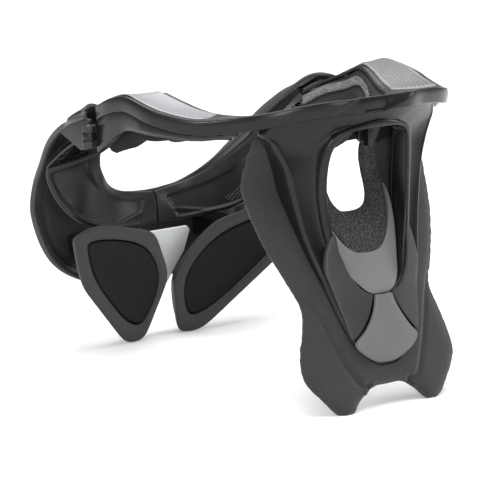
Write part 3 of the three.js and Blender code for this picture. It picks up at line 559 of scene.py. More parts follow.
ringShell = {
    "reach": {"left": 13, "right": -8},        # how much farther back each one's rear end runs
    "reachOver": (55, 100), "narrower": 0.1,
    "liftOver": (66, 100), "liftBelow": 218, "liftTo": 232, "liftShare": 0.8,
    "edge": 0.6,
}


def makeRingShells():
    spec = ringShell
    for side, reach in spec["reach"].items():
        bm = nodeCopy(f"side_shell_{side}")
        for corner in bm.verts:    # its rear end runs out under the collar's skirt
            y, z = corner.co.y / mm - rearShift, corner.co.z / mm
            if y > 40 and z < spec["liftBelow"]:
                corner.co.z += (spec["liftTo"] - z) * spec["liftShare"] * fade(y, *spec["liftOver"]) * mm
            corner.co.y += reach * fade(y, *spec["reachOver"]) * mm
            corner.co.x *= 1 - spec["narrower"] * fade(y, *spec["reachOver"])
        roundEdges(bm, spec["edge"], 2, 38)
        piece = keep(f"side_shell_{side}_skin", bm, finish["nylon"], "frame",
                     [f"side_shell_{side}"])
        shadeByAngle(piece, 40)


def shadeByAngle(piece, angle):      # edges past the angle stay crisp
    limit = math.radians(angle)
    bm = bmesh.new()
    bm.from_mesh(piece.data)
    for edge in bm.edges:
        edge.smooth = len(edge.link_faces) == 2 and edge.calc_face_angle(0) < limit
    bm.to_mesh(piece.data)
    bm.free()


makeCollar()
makeCollarSlot()
makeShoulderPlates()
makeRingShells()
makeRingLiners()
makeLinerBands()
print("neck ring made")


# Soft pieces: remeshed, swollen by a short cloth simulation and capped, so that they stay in their room

def swell(piece, voxel, shrinkBy, cap, pressure, rounds):
    for corner, normal in [(v, v.normal.copy()) for v in piece.data.vertices]:
        corner.co -= normal * shrinkBy * mm
    remesh = piece.modifiers.new("remesh", "REMESH")
    remesh.mode = "VOXEL"
    remesh.voxel_size = voxel * mm
    baked(piece)
    start = [v.co.copy() for v in piece.data.vertices]
    cloth = piece.modifiers.new("cloth", "CLOTH")
    cloth.settings.use_pressure = True
    cloth.settings.uniform_pressure_force = pressure
    cloth.settings.effector_weights.gravity = 0
    cloth.settings.quality = 5
    scene = bpy.context.scene
    for step in range(1, 21):
        scene.frame_set(step)
    baked(piece)
    scene.frame_set(1)
    for corner, home in zip(piece.data.vertices, start):
        move = corner.co - home
        if move.length > cap * mm:
            corner.co = home + move.normalized() * cap * mm
    bm = bmesh.new()
    bm.from_mesh(piece.data)
    for turn in range(rounds):
        bmesh.ops.smooth_vert(bm, verts=bm.verts, factor=0.5, use_axis_x=True, use_axis_y=True,
                              use_axis_z=True)
    for face in bm.faces:
        face.smooth = True
    bm.to_mesh(piece.data)
    bm.free()
    return piece


def makeShoulderFoams():
    for side in ("left", "right"):
        bm = nodeCopy(f"shoulder_foam_{side}")
        piece = keep(f"shoulder_foam_{side}_soft", bm, finish["skinFoam"], "frame",
                     [f"shoulder_foam_{side}"])
        swell(piece, 3.0, 0.8, 1.2, 3, 6)
        subdivide(piece, 1)


makeShoulderFoams()
print("shoulder foams made")


# Back strut and the plates in and on it

strutLine = [                  # height and how far back the strut's face lies, as shares
    (0.13, 0.998), (0.178, 1.03), (0.223, 1.03), (0.283, 1.01), (0.352, 0.975), (0.425, 0.957),
    (0.506, 0.925), (0.587, 0.907), (0.704, 0.9), (0.81, 0.914), (0.88, 0.94), (1, 0.96),
]
padLine = [                    # the same for the back pad's face
    (0, 1.093), (0.06, 1.057), (0.121, 1.014), (0.17, 0.982), (0.206, 0.964), (0.271, 0.932),
    (0.328, 0.893), (0.372, 0.868), (0.441, 0.821), (0.534, 0.75), (0.607, 0.693), (0.672, 0.643),
    (0.709, 0.621), (0.761, 0.621), (0.866, 0.664),
]


def lineAt(line, z):           # smooth value of a line at a height in millimetres
    level = z / brace["standHeight"]
    spot = 0
    while spot < len(line) - 2 and level > line[spot + 1][0]:
        spot += 1
    pick = [line[min(max(k, 0), len(line) - 1)] for k in range(spot - 1, spot + 3)]
    span = pick[2][0] - pick[1][0]
    part = min(max((level - pick[1][0]) / span, 0), 1)
    leave = (pick[2][1] - pick[0][1]) / (pick[2][0] - pick[0][0]) * span
    reach = (pick[3][1] - pick[1][1]) / (pick[3][0] - pick[1][0]) * span
    value = ((2 * part ** 3 - 3 * part ** 2 + 1) * pick[1][1] + (part ** 3 - 2 * part ** 2 + part) * leave
             + (3 * part ** 2 - 2 * part ** 3) * pick[2][1] + (part ** 3 - part ** 2) * reach)
    return value * brace["rearReach"]


def strutBack(x, z):
    return lineAt(strutLine, z) - strut["wrap"] * (x / brace["strutHalfWidth"]) ** 2


def padBack(x, z):
    return lineAt(padLine, z) - backPad["wrap"] * (x / backPad["halfWidth"]) ** 2


strut = {
    "wrap": 36,                # how far its corners sit ahead of its middle
    "depth": 20,
    "rows": [                  # outer x, z and window x, z from the head's middle to the foot's middle
        (0, 0.957, 0, 0.887), (0.3, 0.953, 0.12, 0.887), (0.6, 0.941, 0.24, 0.884),
        (0.85, 0.925, 0.33, 0.873), (0.965, 0.905, 0.375, 0.859), (0.985, 0.88, 0.405, 0.84),
        (0.92, 0.853, 0.426, 0.82), (0.85, 0.806, 0.443, 0.79), (0.79, 0.757, 0.453, 0.745),
        (0.755, 0.7, 0.455, 0.7), (0.725, 0.645, 0.447, 0.645), (0.657, 0.534, 0.412, 0.555),
        (0.589, 0.449, 0.36, 0.488), (0.506, 0.362, 0.29, 0.417), (0.443, 0.283, 0.2, 0.38),
        (0.375, 0.225, 0.13, 0.366), (0.275, 0.179, 0.075, 0.359), (0.11, 0.138, 0.03, 0.357),
        (0, 0.135, 0, 0.356),
    ],
    "lip": 3.0,                # raised outer edge
    "innerRim": 6.5,           # lighter rim round the window
    "scoop": 8.0,              # how deep the face is hollowed between them
    "stations": 120,
}
strutSection = [               # share across the face past the lips, how much of the scoop, and how deep
    ("outer", 1.0, 0, 2.2), ("outer", 0.45, 0, 0.5), ("outer", -0.6, 0, 0), ("outer", -1.9, 0, 0),
    ("outer", -3.0, 0, 0.8), ("outer", -3.6, 0.12, 0.4),
    ("share", 0.22, 0.42, 0), ("share", 0.42, 0.72, 0), ("share", 0.62, 0.93, 0), ("share", 0.8, 1, 0),
    ("inner", 7.6, 1, 0), ("inner", 6.9, 0.97, 0), ("inner", 6.4, 0.25, 0), ("inner", 5.9, 0, 0.3),
    ("inner", 4.6, 0, -0.3), ("inner", 2.2, 0, -0.2), ("inner", 0.8, 0, 0.4), ("inner", 0.1, 0, 1.6),
    ("inner", 0, 0, 4),
    ("front", 0, 0, 4), ("front", 0, 0, 0.6), ("front", 0.06, 0, 0), ("front", 0.5, 0, 0),
    ("front", 0.94, 0, 0), ("front", 1, 0, 0.6), ("front", 1, 0, 4),
]


def strutRow(turn):            # outer and window points at a share of the way round, from the head's middle
    half = turn * 2 if turn <= 0.5 else 2 - turn * 2
    side = 1 if turn <= 0.5 else -1
    outer = [Vector((row[0], 0, row[1])) for row in strut["rows"]]
    inner = [Vector((row[2], 0, row[3])) for row in strut["rows"]]
    scale = Vector((side * brace["strutHalfWidth"], 0, brace["standHeight"]))
    return [smoothAt(line, half) * scale for line in (outer, inner)]


def strutFront(x, z):
    return max(strutBack(x, z) - strut["depth"], padBack(x, z) + 1.6)


def strutCorner(turn, kind, amount, scooped, deep):
    outer, inner = strutRow(turn)
    width = (outer - inner).length
    inward = (inner - outer).normalized()
    lips = strut["lip"] + strut["innerRim"]
    if kind == "outer":
        flat = outer - inward * (amount - 1.0) * min(1, width / 14)
    elif kind == "inner":
        flat = inner - inward * amount * min(1, width / 14)
    elif kind == "share":
        flat = outer + inward * (strut["lip"] + (width - lips) * amount)
    else:
        flat = inner.lerp(outer, amount)
    x, z = flat.x, flat.z
    if kind == "front":
        return Vector((x, strutFront(x, z) + deep, z))
    level = z / brace["standHeight"]
    room = min(1, width / 40) * fade(level, 0.2, 0.5) * (1 - 0.55 * fade(level, 0.83, 0.92))
    thick = strutBack(x, z) - strutFront(x, z)
    hollow = min(strut["scoop"] * room, thick - 2.5)
    return Vector((x, strutBack(x, z) - scooped * hollow - min(deep, thick / 2), z))


def loopBody(stations, section, cornerAt):     # a body that runs round a loop: its section closes too
    bm = bmesh.new()
    count = len(section)
    bmesh.ops.create_grid(bm, x_segments=stations, y_segments=count, size=0.5)
    for corner in bm.verts:
        turn = round((corner.co.x + 0.5) * stations) % stations / stations
        corner.co = toFrame(*cornerAt(turn, *section[round((corner.co.y + 0.5) * count) % count]))
    bmesh.ops.remove_doubles(bm, verts=bm.verts, dist=1e-6)
    bmesh.ops.recalc_face_normals(bm, faces=bm.faces)
    return bm


def makeStrut():
    bm = loopBody(strut["stations"], strutSection, strutCorner)
    piece = keep("back_strut_skin", bm, finish["nylon"], "frame", ["back_strut"])
    subdivide(piece, 1)
    return piece


shield = {
    "half": [(0, 0.357), (0.088, 0.358), (0.096, 0.35), (0.118, 0.325), (0.17, 0.29), (0.255, 0.25),
             (0.34, 0.222), (0.352, 0.213), (0.338, 0.2), (0.29, 0.183), (0.21, 0.163), (0.11, 0.146),
             (0, 0.142)],
    "wall": 3, "lift": 3.7, "edge": [(0.5, 0.6), (0.7, 0.3)],
}
strutPanel = {
    "outline": [(0.425, 0.56), (0.478, 0.53), (0.525, 0.475), (0.535, 0.44), (0.5, 0.395), (0.462, 0.345),
                (0.425, 0.29), (0.378, 0.228), (0.355, 0.232), (0.27, 0.262), (0.186, 0.302), (0.135, 0.338),
                (0.12, 0.358), (0.2, 0.372), (0.255, 0.39), (0.335, 0.434), (0.39, 0.49)],
    "wall": 1.2, "lift": 1.9, "edge": [(0.4, 0.35), (0.8, 0.25)],
}


def roundedHalf(half, width, count):     # a whole outline on a smooth curve, from its left half of shares
    points = [Vector((x * width, 0, z * brace["standHeight"])) for x, z in half]
    left = [smoothAt(points, k / count) for k in range(count + 1)]
    whole = left + [Vector((-p.x, 0, p.z)) for p in reversed(left[1:-1])]
    return [(p.x, p.z) for p in whole]


def makeShield():
    spec = shield
    outline = roundedHalf(spec["half"], brace["strutHalfWidth"], 44)
    bm = plateBody(outline, lambda x, z: strutBack(x, z) + spec["lift"] - 1.0, spec["wall"] - 1.0,
                   spec["edge"], 6)
    keep("shield_plate", bm, finish["shield"], "frame", ["shield"])


def makeStrutPanels():
    spec = strutPanel
    scaled = [(x * brace["strutHalfWidth"], z * brace["standHeight"]) for x, z in spec["outline"]]
    outline = [(p.x, p.z) for p in closedCurve(scaled, 90)]
    bm = plateBody(outline, lambda x, z: strutBack(x, z) + spec["lift"] - 0.6, spec["wall"] + 1.5,
                   spec["edge"], 6)
    keepBoth("strut_panel_{}_plate", bm, finish["panel"], "frame", "strut_panel_{}")


neckFoam = {
    "half": [(0, 0.474), (0.136, 0.482), (0.239, 0.518), (0.335, 0.575), (0.386, 0.63), (0.398, 0.68),
             (0.375, 0.74), (0.325, 0.8), (0.275, 0.82), (0.215, 0.812), (0.21, 0.77), (0.236, 0.72),
             (0.242, 0.67), (0.22, 0.635), (0.165, 0.611), (0.09, 0.601), (0, 0.599)],
    "rise": 5, "wall": 8, "edge": [(0.5, 0.9), (1.0, 0.6), (2.0, 0.3)],
    "cupRise": 3.2, "cupOver": (0.66, 0.52),   # how far it comes out in its cup, over which heights
}


def foamFace(x, z):            # comes out to the spine plate's level in its cup
    out = neckFoam["cupRise"] * fade(z / brace["standHeight"], *neckFoam["cupOver"])
    return padBack(0, z) + neckFoam["rise"] + out


def grownLoop(points, amount):  # a closed outline moved out along its own normals
    loop = [Vector(point) for point in points]
    turning = sum(p.x * q.y - q.x * p.y for p, q in zip(loop, loop[1:] + loop[:1]))
    moved = []
    for k, point in enumerate(loop):
        run = (loop[(k + 1) % len(loop)] - loop[k - 1]).normalized()
        out = Vector((run.y, -run.x)) * (1 if turning > 0 else -1)
        moved.append(tuple(point + out * amount))
    return moved


hangerFlap = {
    "outline": [(0.035, 0.89), (0.3, 0.9), (0.6, 0.9), (0.66, 0.87), (0.6, 0.838), (0.45, 0.825),
                (0.33, 0.815), (0.22, 0.806), (0.15, 0.812), (0.08, 0.828), (0.04, 0.85)],
    "wall": 3.4, "edge": [(0.6, 0.6), (1.0, 0.2)], "folds": 1.5, "foldLength": 4.2,
    "backing": {"from": -24, "to": 6, "low": 0.828, "high": 0.928, "lift": 1},
}


def makeHangerFlaps():         # a dark folded cover under the strut's head, either side of the post
    spec = hangerFlap
    width, height = brace["strutHalfWidth"], brace["standHeight"]
    outline = [(p.x, p.z) for p in closedCurve([(x * width, z * height) for x, z in spec["outline"]], 72)]

    def surface(x, z):
        fold = spec["folds"] * math.cos(x / spec["foldLength"]) * fade(x, 34, 20)
        return padBack(0, z) + neckFoam["rise"] + 3.4 + fold + (z - 0.82 * height) * 0.15

    bm = plateBody(outline, surface, spec["wall"], spec["edge"], 3)
    keepBoth("hanger_flap_{}_folded", bm, finish["nylon"], "frame", "hanger_flap_{}")

    backing = spec["backing"]

    def behind(u, v, lift):    # a near-black sheet that closes the space between the folds and the post: painted shade in that gap
        x = backing["from"] + (backing["to"] - backing["from"]) * u
        z = (backing["low"] + (backing["high"] - backing["low"]) * v) * height
        return Vector((x, padBack(0, z) + neckFoam["rise"] + backing["lift"] + lift, z))

    bm = sheetBody(12, 8, behind, 1, -1)
    keep("hanger_shade_sheet", bm, finish["insert"], "frame")


headShadow = {"width": 168, "below": 0.1, "height": 1.3, "out": 0.35, "deep": 2.5}


def makeHeadShadow():            # a black strip under the collar's skirt: painted shadow between the skirt and the strut's head
    spec = headShadow

    def shadowBand(u, v, lift):
        x = spec["width"] * (u - 0.5)
        low = rimPoint(x, brace["skirtHeight"] + spec["below"] + spec["height"] * v, 0)
        return Vector((x, strutBack(x, low.z) + lift, low.z))

    bm = sheetBody(80, 2, shadowBand, spec["out"], -spec["deep"])
    keep("head_shadow_strip", bm, finish["insert"], "frame")


def makeNeckFoam():
    spec = neckFoam
    bm = plateBody(roundedHalf(spec["half"], brace["strutHalfWidth"], 56),
                   lambda x, z: foamFace(x, z) - 1.8, spec["wall"] - 1.8, spec["edge"], 5)
    piece = keep("neck_foam_soft", bm, finish["foam"], "frame", ["neck_foam"])
    return piece


spinePlate = {
    "rise": 8.5, "wall": 3.5, "edge": [(0.3, 0.3), (0.6, 0.15)],
    # down the window's side from the horn's tip, then up round the foam's cup
    "half": [(0.4, 0.672), (0.418, 0.63), (0.402, 0.567), (0.378, 0.53), (0.345, 0.488), (0.285, 0.425),
             (0.2, 0.385), (0.12, 0.3635), (0.06, 0.359), (0, 0.358)],
    "cup": [(0, 0.48), (0.075, 0.481), (0.142, 0.486), (0.2, 0.499), (0.25, 0.515), (0.3, 0.542),
            (0.35, 0.574), (0.38, 0.604), (0.398, 0.64)],
}


def makeSpinePlate():
    spec = spinePlate
    width, height = brace["strutHalfWidth"], brace["standHeight"]
    side = [Vector((x * width, 0, z * height)) for x, z in spec["half"]]
    side = [smoothAt(side, k / 40) for k in range(41)]
    cup = [Vector((x * width, 0, z * height)) for x, z in spec["cup"]]
    cup = [smoothAt(cup, k / 36) for k in range(37)]
    half = cup + side[:-1]
    outline = [(p.x, p.z) for p in half] + [(side[-1].x, side[-1].z)]
    outline += [(-p.x, p.z) for p in reversed(half) if p.x > 0.01]

    def surface(x, z):         # its foot comes out to meet the shield
        return padBack(x, z) + spec["rise"] - 0.5 + 4.5 * fade(z / height, 0.45, 0.37)

    bm = plateBody(outline, surface, spec["wall"], spec["edge"], 6)
    keep("spine_plate_cover", bm, finish["spine"], "frame", ["spine_plate"])


backPad = {
    "halfWidth": 92, "wrap": 8, "wall": 9, "grow": 1.7,
    "half": [(0, 0.455), (0.15, 0.463), (0.27, 0.5), (0.37, 0.56), (0.425, 0.62), (0.44, 0.7),
             (0.42, 0.77), (0.5, 0.83), (0.72, 0.862), (0.87, 0.866), (0.93, 0.8), (0.985, 0.71),
             (0.985, 0.672), (0.915, 0.534), (0.813, 0.44), (0.728, 0.371), (0.692, 0.328), (0.728, 0.27),
             (0.787, 0.206), (0.815, 0.15), (0.8, 0.11), (0.683, 0.058), (0.55, 0.006), (0.44, 0.003),
             (0.3, 0.045), (0.17, 0.074), (0, 0.076)],
    "edge": [(0.4, 0.5), (1.0, 0.35), (3.0, 0.25)],
    "channel": [(66, 92), (60, 84), (53, 72), (45, 50), (35, 29), (28, 20), (21, 19)],   # sewn step, x and z
    "stepHeight": 1.6, "grooveDepth": 1.8, "grooveWidth": 2.6,
}


def trued(piece, outline, deepest):     # sets the side of a remeshed pad back on its outline
    steps = 8
    points = [Vector((x * mm, z * mm)) for x, z in outline]
    dense = [p.lerp(q, k / steps) for p, q in zip(points, points[1:] + points[:1]) for k in range(steps)]
    tree = KDTree(len(dense))
    for k, point in enumerate(dense):
        tree.insert((point.x, 0, point.y), k)
    tree.balance()
    sideways = [fade(abs(corner.normal.y), 0.85, 0.45) for corner in piece.data.vertices]
    for corner, share in zip(piece.data.vertices, sideways):
        near, spot, distance = tree.find((corner.co.x, 0, corner.co.z))
        if distance < deepest * mm:
            corner.co.x += (near.x - corner.co.x) * share
            corner.co.z += (near.z - corner.co.z) * share


def makeBackPad():
    spec = backPad
    outline = grownLoop(roundedHalf(spec["half"], spec["halfWidth"], 96), spec["grow"])
    bm = plateBody(outline, lambda x, z: padBack(x, z) - 1.1, spec["wall"] - 1.1, spec["edge"], 7)
    for corner in bm.verts:    # the front rounds off too
        y = corner.co.y / mm - rearShift
        x, z = corner.co.x / mm, corner.co.z / mm
        if y < padBack(x, z) - 5 and corner[bm.verts.layers.float["rise"]] < 3:
            corner.co.y += 1.2 * mm
    piece = keep("back_pad_woven", bm, finish["woven"], "frame", ["back_pad"])
    swell(piece, 2.8, 0, 1.2, 3, 9)
    trued(piece, outline, 4)
    subdivide(piece, 1)
    baked(piece)
    path = [smoothAt([Vector((x, 0, z)) for x, z in spec["channel"]], k / 40) for k in range(41)]
    for corner in piece.data.vertices:
        x, y, z = abs(corner.co.x) / mm, corner.co.y / mm - rearShift, corner.co.z / mm
        if y < padBack(x, z) - 5.5 or z > 100:
            continue
        near = min(path, key=lambda p: (p.x - x) ** 2 + (p.z - z) ** 2)
        away = math.hypot(near.x - x, near.z - z)
        inside = x < near.x or z > near.z + 3
        groove = spec["grooveDepth"] * math.exp(-(away / spec["grooveWidth"]) ** 2)
        step = spec["stepHeight"] * fade(away, 0, 5) * inside * fade(z, 96, 78)
        corner.co.y += (step - groove) * mm
    for corner in piece.data.vertices:
        corner.co.z = max(corner.co.z, 0)
    return piece


makeStrut()
makeShield()
makeStrutPanels()
makeHangerFlaps()
makeHeadShadow()
makeNeckFoam()
makeSpinePlate()
makeBackPad()
print("back made")


# Small fittings that keep their frame shape, with rounded edges

fittings = [                   # node, body, material, slot, edge width
    ("hanger_post", "frame", "nylon", "satin_polymer", 0.8),
    ("hinge_leaf_left", "left_arm", "greyNylon", "grey_polymer", 0.5),
    ("hinge_leaf_right", "right_arm", "greyNylon", "grey_polymer", 0.5),
    ("pad_stem_left", "left_arm", "nylon", "satin_polymer", 1.2),
    ("pad_stem_right", "right_arm", "nylon", "satin_polymer", 1.2),
    ("arm_cap_left", "left_arm", "nylon", "satin_polymer", 0.6),
    ("arm_cap_right", "right_arm", "nylon", "satin_polymer", 0.6),
]
capSeat = {"inward": 8, "down": 7}     # from the frame's cap to its place on the rim
for node, body, look, slotName, edgeWidth in fittings:
    bm = nodeCopy(node, 8)
    if node.startswith("arm_cap"):     # seated on the rim
        inward = -capSeat["inward"] if body == "left_arm" else capSeat["inward"]
        bmesh.ops.translate(bm, vec=Vector((inward, 0, -capSeat["down"])) * mm, verts=bm.verts)
    roundEdges(bm, edgeWidth, 3, 30)
    piece = keep(f"{node}_smooth", bm, finish[look], body, [node])
    shadeByAngle(piece, 35)
for side in ("left", "right"):
    pin = nodes[f"hinge_pin_{side}"]
    pin.data.materials.clear()
    pin.data.materials.append(finish["steel"])
print("fittings made")


# Front arms: shares of the half width, reach and height for the neck edge, the liner's lower edge and the rim

armRows = [
    (0.7, -0.475, 0.842, 0.88, -0.47, 0.79, 0.957, -0.385, 0.857),
    (0.67, -0.55, 0.785, 0.865, -0.6, 0.745, 0.962, -0.53, 0.82),
    (0.645, -0.6, 0.747, 0.855, -0.73, 0.69, 0.957, -0.64, 0.79),
    (0.59, -0.675, 0.69, 0.845, -0.845, 0.62, 0.94, -0.765, 0.73),
    (0.535, -0.735, 0.644, 0.8, -0.82, 0.535, 0.907, -0.87, 0.64),
    (0.46, -0.797, 0.603, 0.7, -0.76, 0.465, 0.864, -0.965, 0.555),
    (0.36, -0.866, 0.555, 0.52, -0.765, 0.425, 0.82, -0.985, 0.465),
    (0.245, -0.915, 0.523, 0.33, -0.815, 0.405, 0.7, -0.93, 0.3),
    (0.13, -0.92, 0.509, 0.16, -0.858, 0.393, 0.38, -0.94, 0.205),
    (0, -0.9, 0.502, 0, -0.868, 0.389, 0, -0.965, 0.186),
]
armNeck = [share(*row[:3]) for row in armRows]
armLow = [share(*row[3:6]) for row in armRows]
armRim = [share(*row[6:]) for row in armRows]
arm = {
    "halfSplit": 0.4,          # from the middle plane to each arm's front edge
    "latticeEnd": 0.3,         # share of the arm's length where the liner starts
    "linerWall": 7, "linerBulge": -2.5,
    "shellWall": 3, "rimWall": 6, "shellBulge": 9, "sideTuck": 9.5,
    "panelSink": 2.4,          # how far the liner's panel lies below its border
    "borderTop": 0.27, "borderLow": 0.9,
}


def frontFace(t):              # 1 where the arm faces straight ahead
    return fade(t, 0.9, 1)


def shellNeck(t):
    out = neckRun(t).cross(smoothAt(armLow, t) - smoothAt(armNeck, t)).normalized()
    out.x *= 1 - frontFace(t)
    return smoothAt(armNeck, t) + out.normalized() * (arm["linerWall"] + brace["gap"] + 0.2)


def neckRun(t):
    return smoothAt(armNeck, min(t + 0.01, 1)) - smoothAt(armNeck, max(t - 0.01, 0))


def runAlong(edge, t):
    return edge(min(t + 0.01, 1)) - edge(max(t - 0.01, 0))


def armPoint(edgeA, edgeB, bulge, t, v):
    a, b = edgeA(t), edgeB(t)
    run = runAlong(edgeA, t) + runAlong(edgeB, t)
    out = run.cross(b - a).normalized()
    out.x *= 1 - frontFace(t)
    return a.lerp(b, v) + out.normalized() * bulge * 4 * v * (1 - v)


def neckEdge(t):
    return smoothAt(armNeck, t)


def lowEdge(t):
    return smoothAt(armLow, t)


def rimEdge(t):                # the rim's bead sits in a little at the side
    point = smoothAt(armRim, t)
    point.x -= arm["sideTuck"] * fade(t, 0.03, 0.2) * fade(t, 0.75, 0.5)
    return point


def armLifted(edges, t, v, distance):    # a point lifted off an arm's surface, along its own normal
    edgeA, edgeB, bulge = edges
    t, v = min(max(t, 0), 1), min(max(v, 0), 1)
    here = armPoint(edgeA, edgeB, bulge, t, v)
    run = runAlong(lambda along: armPoint(edgeA, edgeB, bulge, along, v), t)
    over = armPoint(edgeA, edgeB, bulge, t, min(v + 0.02, 1))
    over -= armPoint(edgeA, edgeB, bulge, t, max(v - 0.02, 0))
    out = run.cross(over).normalized()
    out.x *= 1 - frontFace(t)
    point = here + out.normalized() * distance
    point.x = max(point.x, arm["halfSplit"])
    return point


linerEdges = (neckEdge, lowEdge, arm["linerBulge"])
shellEdges = (shellNeck, rimEdge, arm["shellBulge"])


def eased(value):              # bunches a grid's lines toward both edges
    return 0.5 - 0.5 * math.cos(math.pi * value)


def edgeRound(value, span, width):       # how far a half-round edge drops, value of span mm from it
    near = min(value, 1 - value) * span / width
    return 1 - math.sqrt(max(1 - (1 - min(near, 1)) ** 2, 0))


def makeArmLiners():
    start = arm["latticeEnd"] + 0.003

    def liner(u, v, outer):
        u, v = eased(u), eased(v)
        t = start + (1 - start) * u
        drop = max(edgeRound(v, 55, 3.4), edgeRound(u, 150, 2.5)) * (arm["linerWall"] / 2 - 0.2)
        if outer:
            return armLifted(linerEdges, t, v, arm["linerWall"] - drop)
        inPanel = fade(v, arm["borderTop"] - 0.035, arm["borderTop"] + 0.035)
        inPanel *= fade(v, arm["borderLow"] + 0.02, arm["borderLow"] - 0.04)
        inPanel *= fade(u, 0.035, 0.06) * fade(u, 0.94 - 0.08 * v, 0.9 - 0.08 * v)
        ridge = 1.8 * math.exp(-((v - 0.92 + (u - 0.66) * 1.3) / 0.05) ** 2)
        ridge *= fade(u, 0.62, 0.72) * fade(u, 0.93, 0.88)
        return armLifted(linerEdges, t, v, drop + arm["panelSink"] * inPanel - ridge * inPanel)

    bm = sheetBody(90, 44, liner, False, True)
    keepBoth("arm_liner_{}_moulded", bm, finish["liner"], "{}_arm", "arm_liner_{}")

    def cloth(u, v, lift):     # mesh cloth in the hinge-side half of the panel
        t = start + (1 - start) * (0.07 + 0.48 * u)
        top, low = arm["borderTop"] + 0.06 + 0.38 * u, arm["borderLow"] - 0.07
        return armLifted(linerEdges, t, top + (low - top) * v, arm["panelSink"] - lift)

    bm = mirrored(sheetBody(40, 24, cloth, 0.6, 0.1))
    keep("liner_mesh_right", bm, finish["mesh"], "right_arm")


def makeArmShells():
    def shell(u, v, outer):
        u, v = eased(u), eased(v)
        ramp = fade(v, 0.8, 0.97)
        wall = arm["shellWall"] + (arm["rimWall"] - arm["shellWall"]) * ramp
        reach = (shellNeck(u) - rimEdge(u)).length
        drop = edgeRound(v, reach, wall / 2) * (wall / 2 - 0.1)
        drop = max(drop, edgeRound(u, 260, 1.5) * (arm["shellWall"] / 2 - 0.1))
        if outer:
            return armLifted(shellEdges, u, v, wall - drop)
        away = (1 - v) * reach
        step = 1.1 * fade(away, 7.0, 8.2) * fade(away, 16, 11)
        return armLifted(shellEdges, u, v, drop + step)

    bm = sheetBody(110, 48, shell, False, True)
    # the shells take the nylon painted lighter, a painted light on their insides
    keepBoth("arm_shell_{}_moulded", bm, finish["armNylonPaintedLight"], "{}_arm", "arm_shell_{}")


lattice = {"start": 0.015, "band": 0.26, "ribs": 8, "rails": 5, "ribRun": 0.006, "railWidth": 0.03,
           "wall": 2.6}


def makeLattices():            # thin crossing ribs over the open hinge end
    spec = lattice
    length = arm["latticeEnd"] - spec["start"]
    whole = bmesh.new()

    def strip(start, end, low, high, wall, steps):
        def side(u, v, lift):
            return armLifted((neckEdge, lowEdge, 0), start(v) + (end(v) - start(v)) * u,
                             low + (high - low) * v, lift)

        part = sheetBody(*steps, side, 0.3, wall)
        mesh = bpy.data.meshes.new("rib")
        part.to_mesh(mesh)
        part.free()
        whole.from_mesh(mesh)
        bpy.data.meshes.remove(mesh)

    strip(lambda v: spec["start"], lambda v: arm["latticeEnd"], 0.02, spec["band"], arm["linerWall"] - 0.3,
          (16, 5))
    for k in range(spec["ribs"]):
        first = spec["start"] + (length - spec["ribRun"]) * k / (spec["ribs"] - 1)
        lean = 0.5 * length / spec["ribs"]
        limit = arm["latticeEnd"] - spec["ribRun"]
        strip(lambda v: min(first + lean * v, limit),
              lambda v: min(first + lean * v, limit) + spec["ribRun"], spec["band"] - 0.02, 1, spec["wall"],
              (1, 10))
    for k in range(1, spec["rails"]):
        low = spec["band"] + (1 - spec["railWidth"] - spec["band"]) * k / (spec["rails"] - 1)
        strip(lambda v: spec["start"], lambda v: arm["latticeEnd"], low, low + spec["railWidth"],
              spec["wall"] - 0.2, (16, 1))
    for piece in keepBoth("arm_lattice_{}_ribs", whole, finish["nylon"], "{}_arm",
                          "arm_lattice_{}"):
        shadeByAngle(piece, 40)

    def behind(u, v, lift):    # a near-black web that closes the ribs' outer side: painted shade seen between the ribs
        return armLifted((neckEdge, lowEdge, 0), spec["start"] + length * u, 0.04 + 0.94 * v,
                         arm["linerWall"] - lift)

    web = sheetBody(12, 8, behind, 1.6, 0.9)
    keepBoth("lattice_shade_web_{}", web, finish["insert"], "{}_arm")


makeArmLiners()
makeArmShells()
makeLattices()
print("arms made")


# Chest pads and the white plate between them, on a tilted plane that follows the chest

chest = {
    "set": 150.4, "turn": 0.155, "lean": 0.302, "wall": 14, "halfWidth": 127, "height": 118,
    "outline": [(0.014, 0.466), (0.24, 0.85), (0.6, 0.95), (0.81, 0.997), (0.985, 0.945), (0.99, 0.9),
                (0.827, 0.53), (0.345, 0.03), (0.28, 0), (0.17, 0), (0.13, 0.035)],
    "rounding": 13, "stations": 132,
    "margin": 14.5,            # outer edge to the insert
    "roundsBefore": 50, "roundsAfter": 40,     # of evening out the insert's outline
    "lossInRounding": 3,       # how far that evening draws the outline in
    "insertShift": 4.5,        # how much nearer the middle plane the insert's inner side lies
    "shiftOver": (55, 14),     # from this far off the middle plane to this
    # in from the edge, and how deep below the face: round the frame's section and then its insert's
    "frameSection": [(9, 14), (6, 11), (2.6, 7), (0.7, 3.8), (0, 1.9), (0.5, 0.8), (2.2, 0.25), (5, 0),
                     (8.5, 0), (11, 0.3), (11.8, 0.9), (12.3, 0.3), (13.1, 0.3), (13.6, 1.0), (13.8, 3.5),
                     (13.8, 12.5), (13, 14), (7, 14)],
    "insertSection": [(13.2, 13), (13.2, 9.5), (14.5, 8.5), (14.7, 4), (14.9, 2.0), (15.6, 1.3), (17, 1.1),
                      (20, 1.6)],
    "insertShares": [(0.75, 2.3), (0.5, 2.7), (0.25, 2.8), (0, 2.8)],
}


def chestFace(x, z):
    return chest["turn"] * abs(x) + chest["lean"] * z - chest["set"]


def roundedCorners(points, radius, count):     # a closed outline with rounded corners, evenly spaced
    dense = []
    for k, point in enumerate(points):
        before, after = points[k - 1] - point, points[(k + 1) % len(points)] - point
        start = point + before * min(radius / before.length, 0.48)
        end = point + after * min(radius / after.length, 0.48)
        for step in range(9):
            part = step / 8
            dense.append(start.lerp(point, part).lerp(point.lerp(end, part), part))
    runs = [(dense[k] - dense[k - 1]).length for k in range(len(dense))]
    total, spots, travelled, k = sum(runs), [], 0, 0
    for number in range(count):
        goal = total * number / count
        while travelled + runs[k] < goal:
            travelled += runs[k]
            k += 1
        spots.append(dense[k - 1].lerp(dense[k], (goal - travelled) / runs[k] if runs[k] else 0))
    return spots


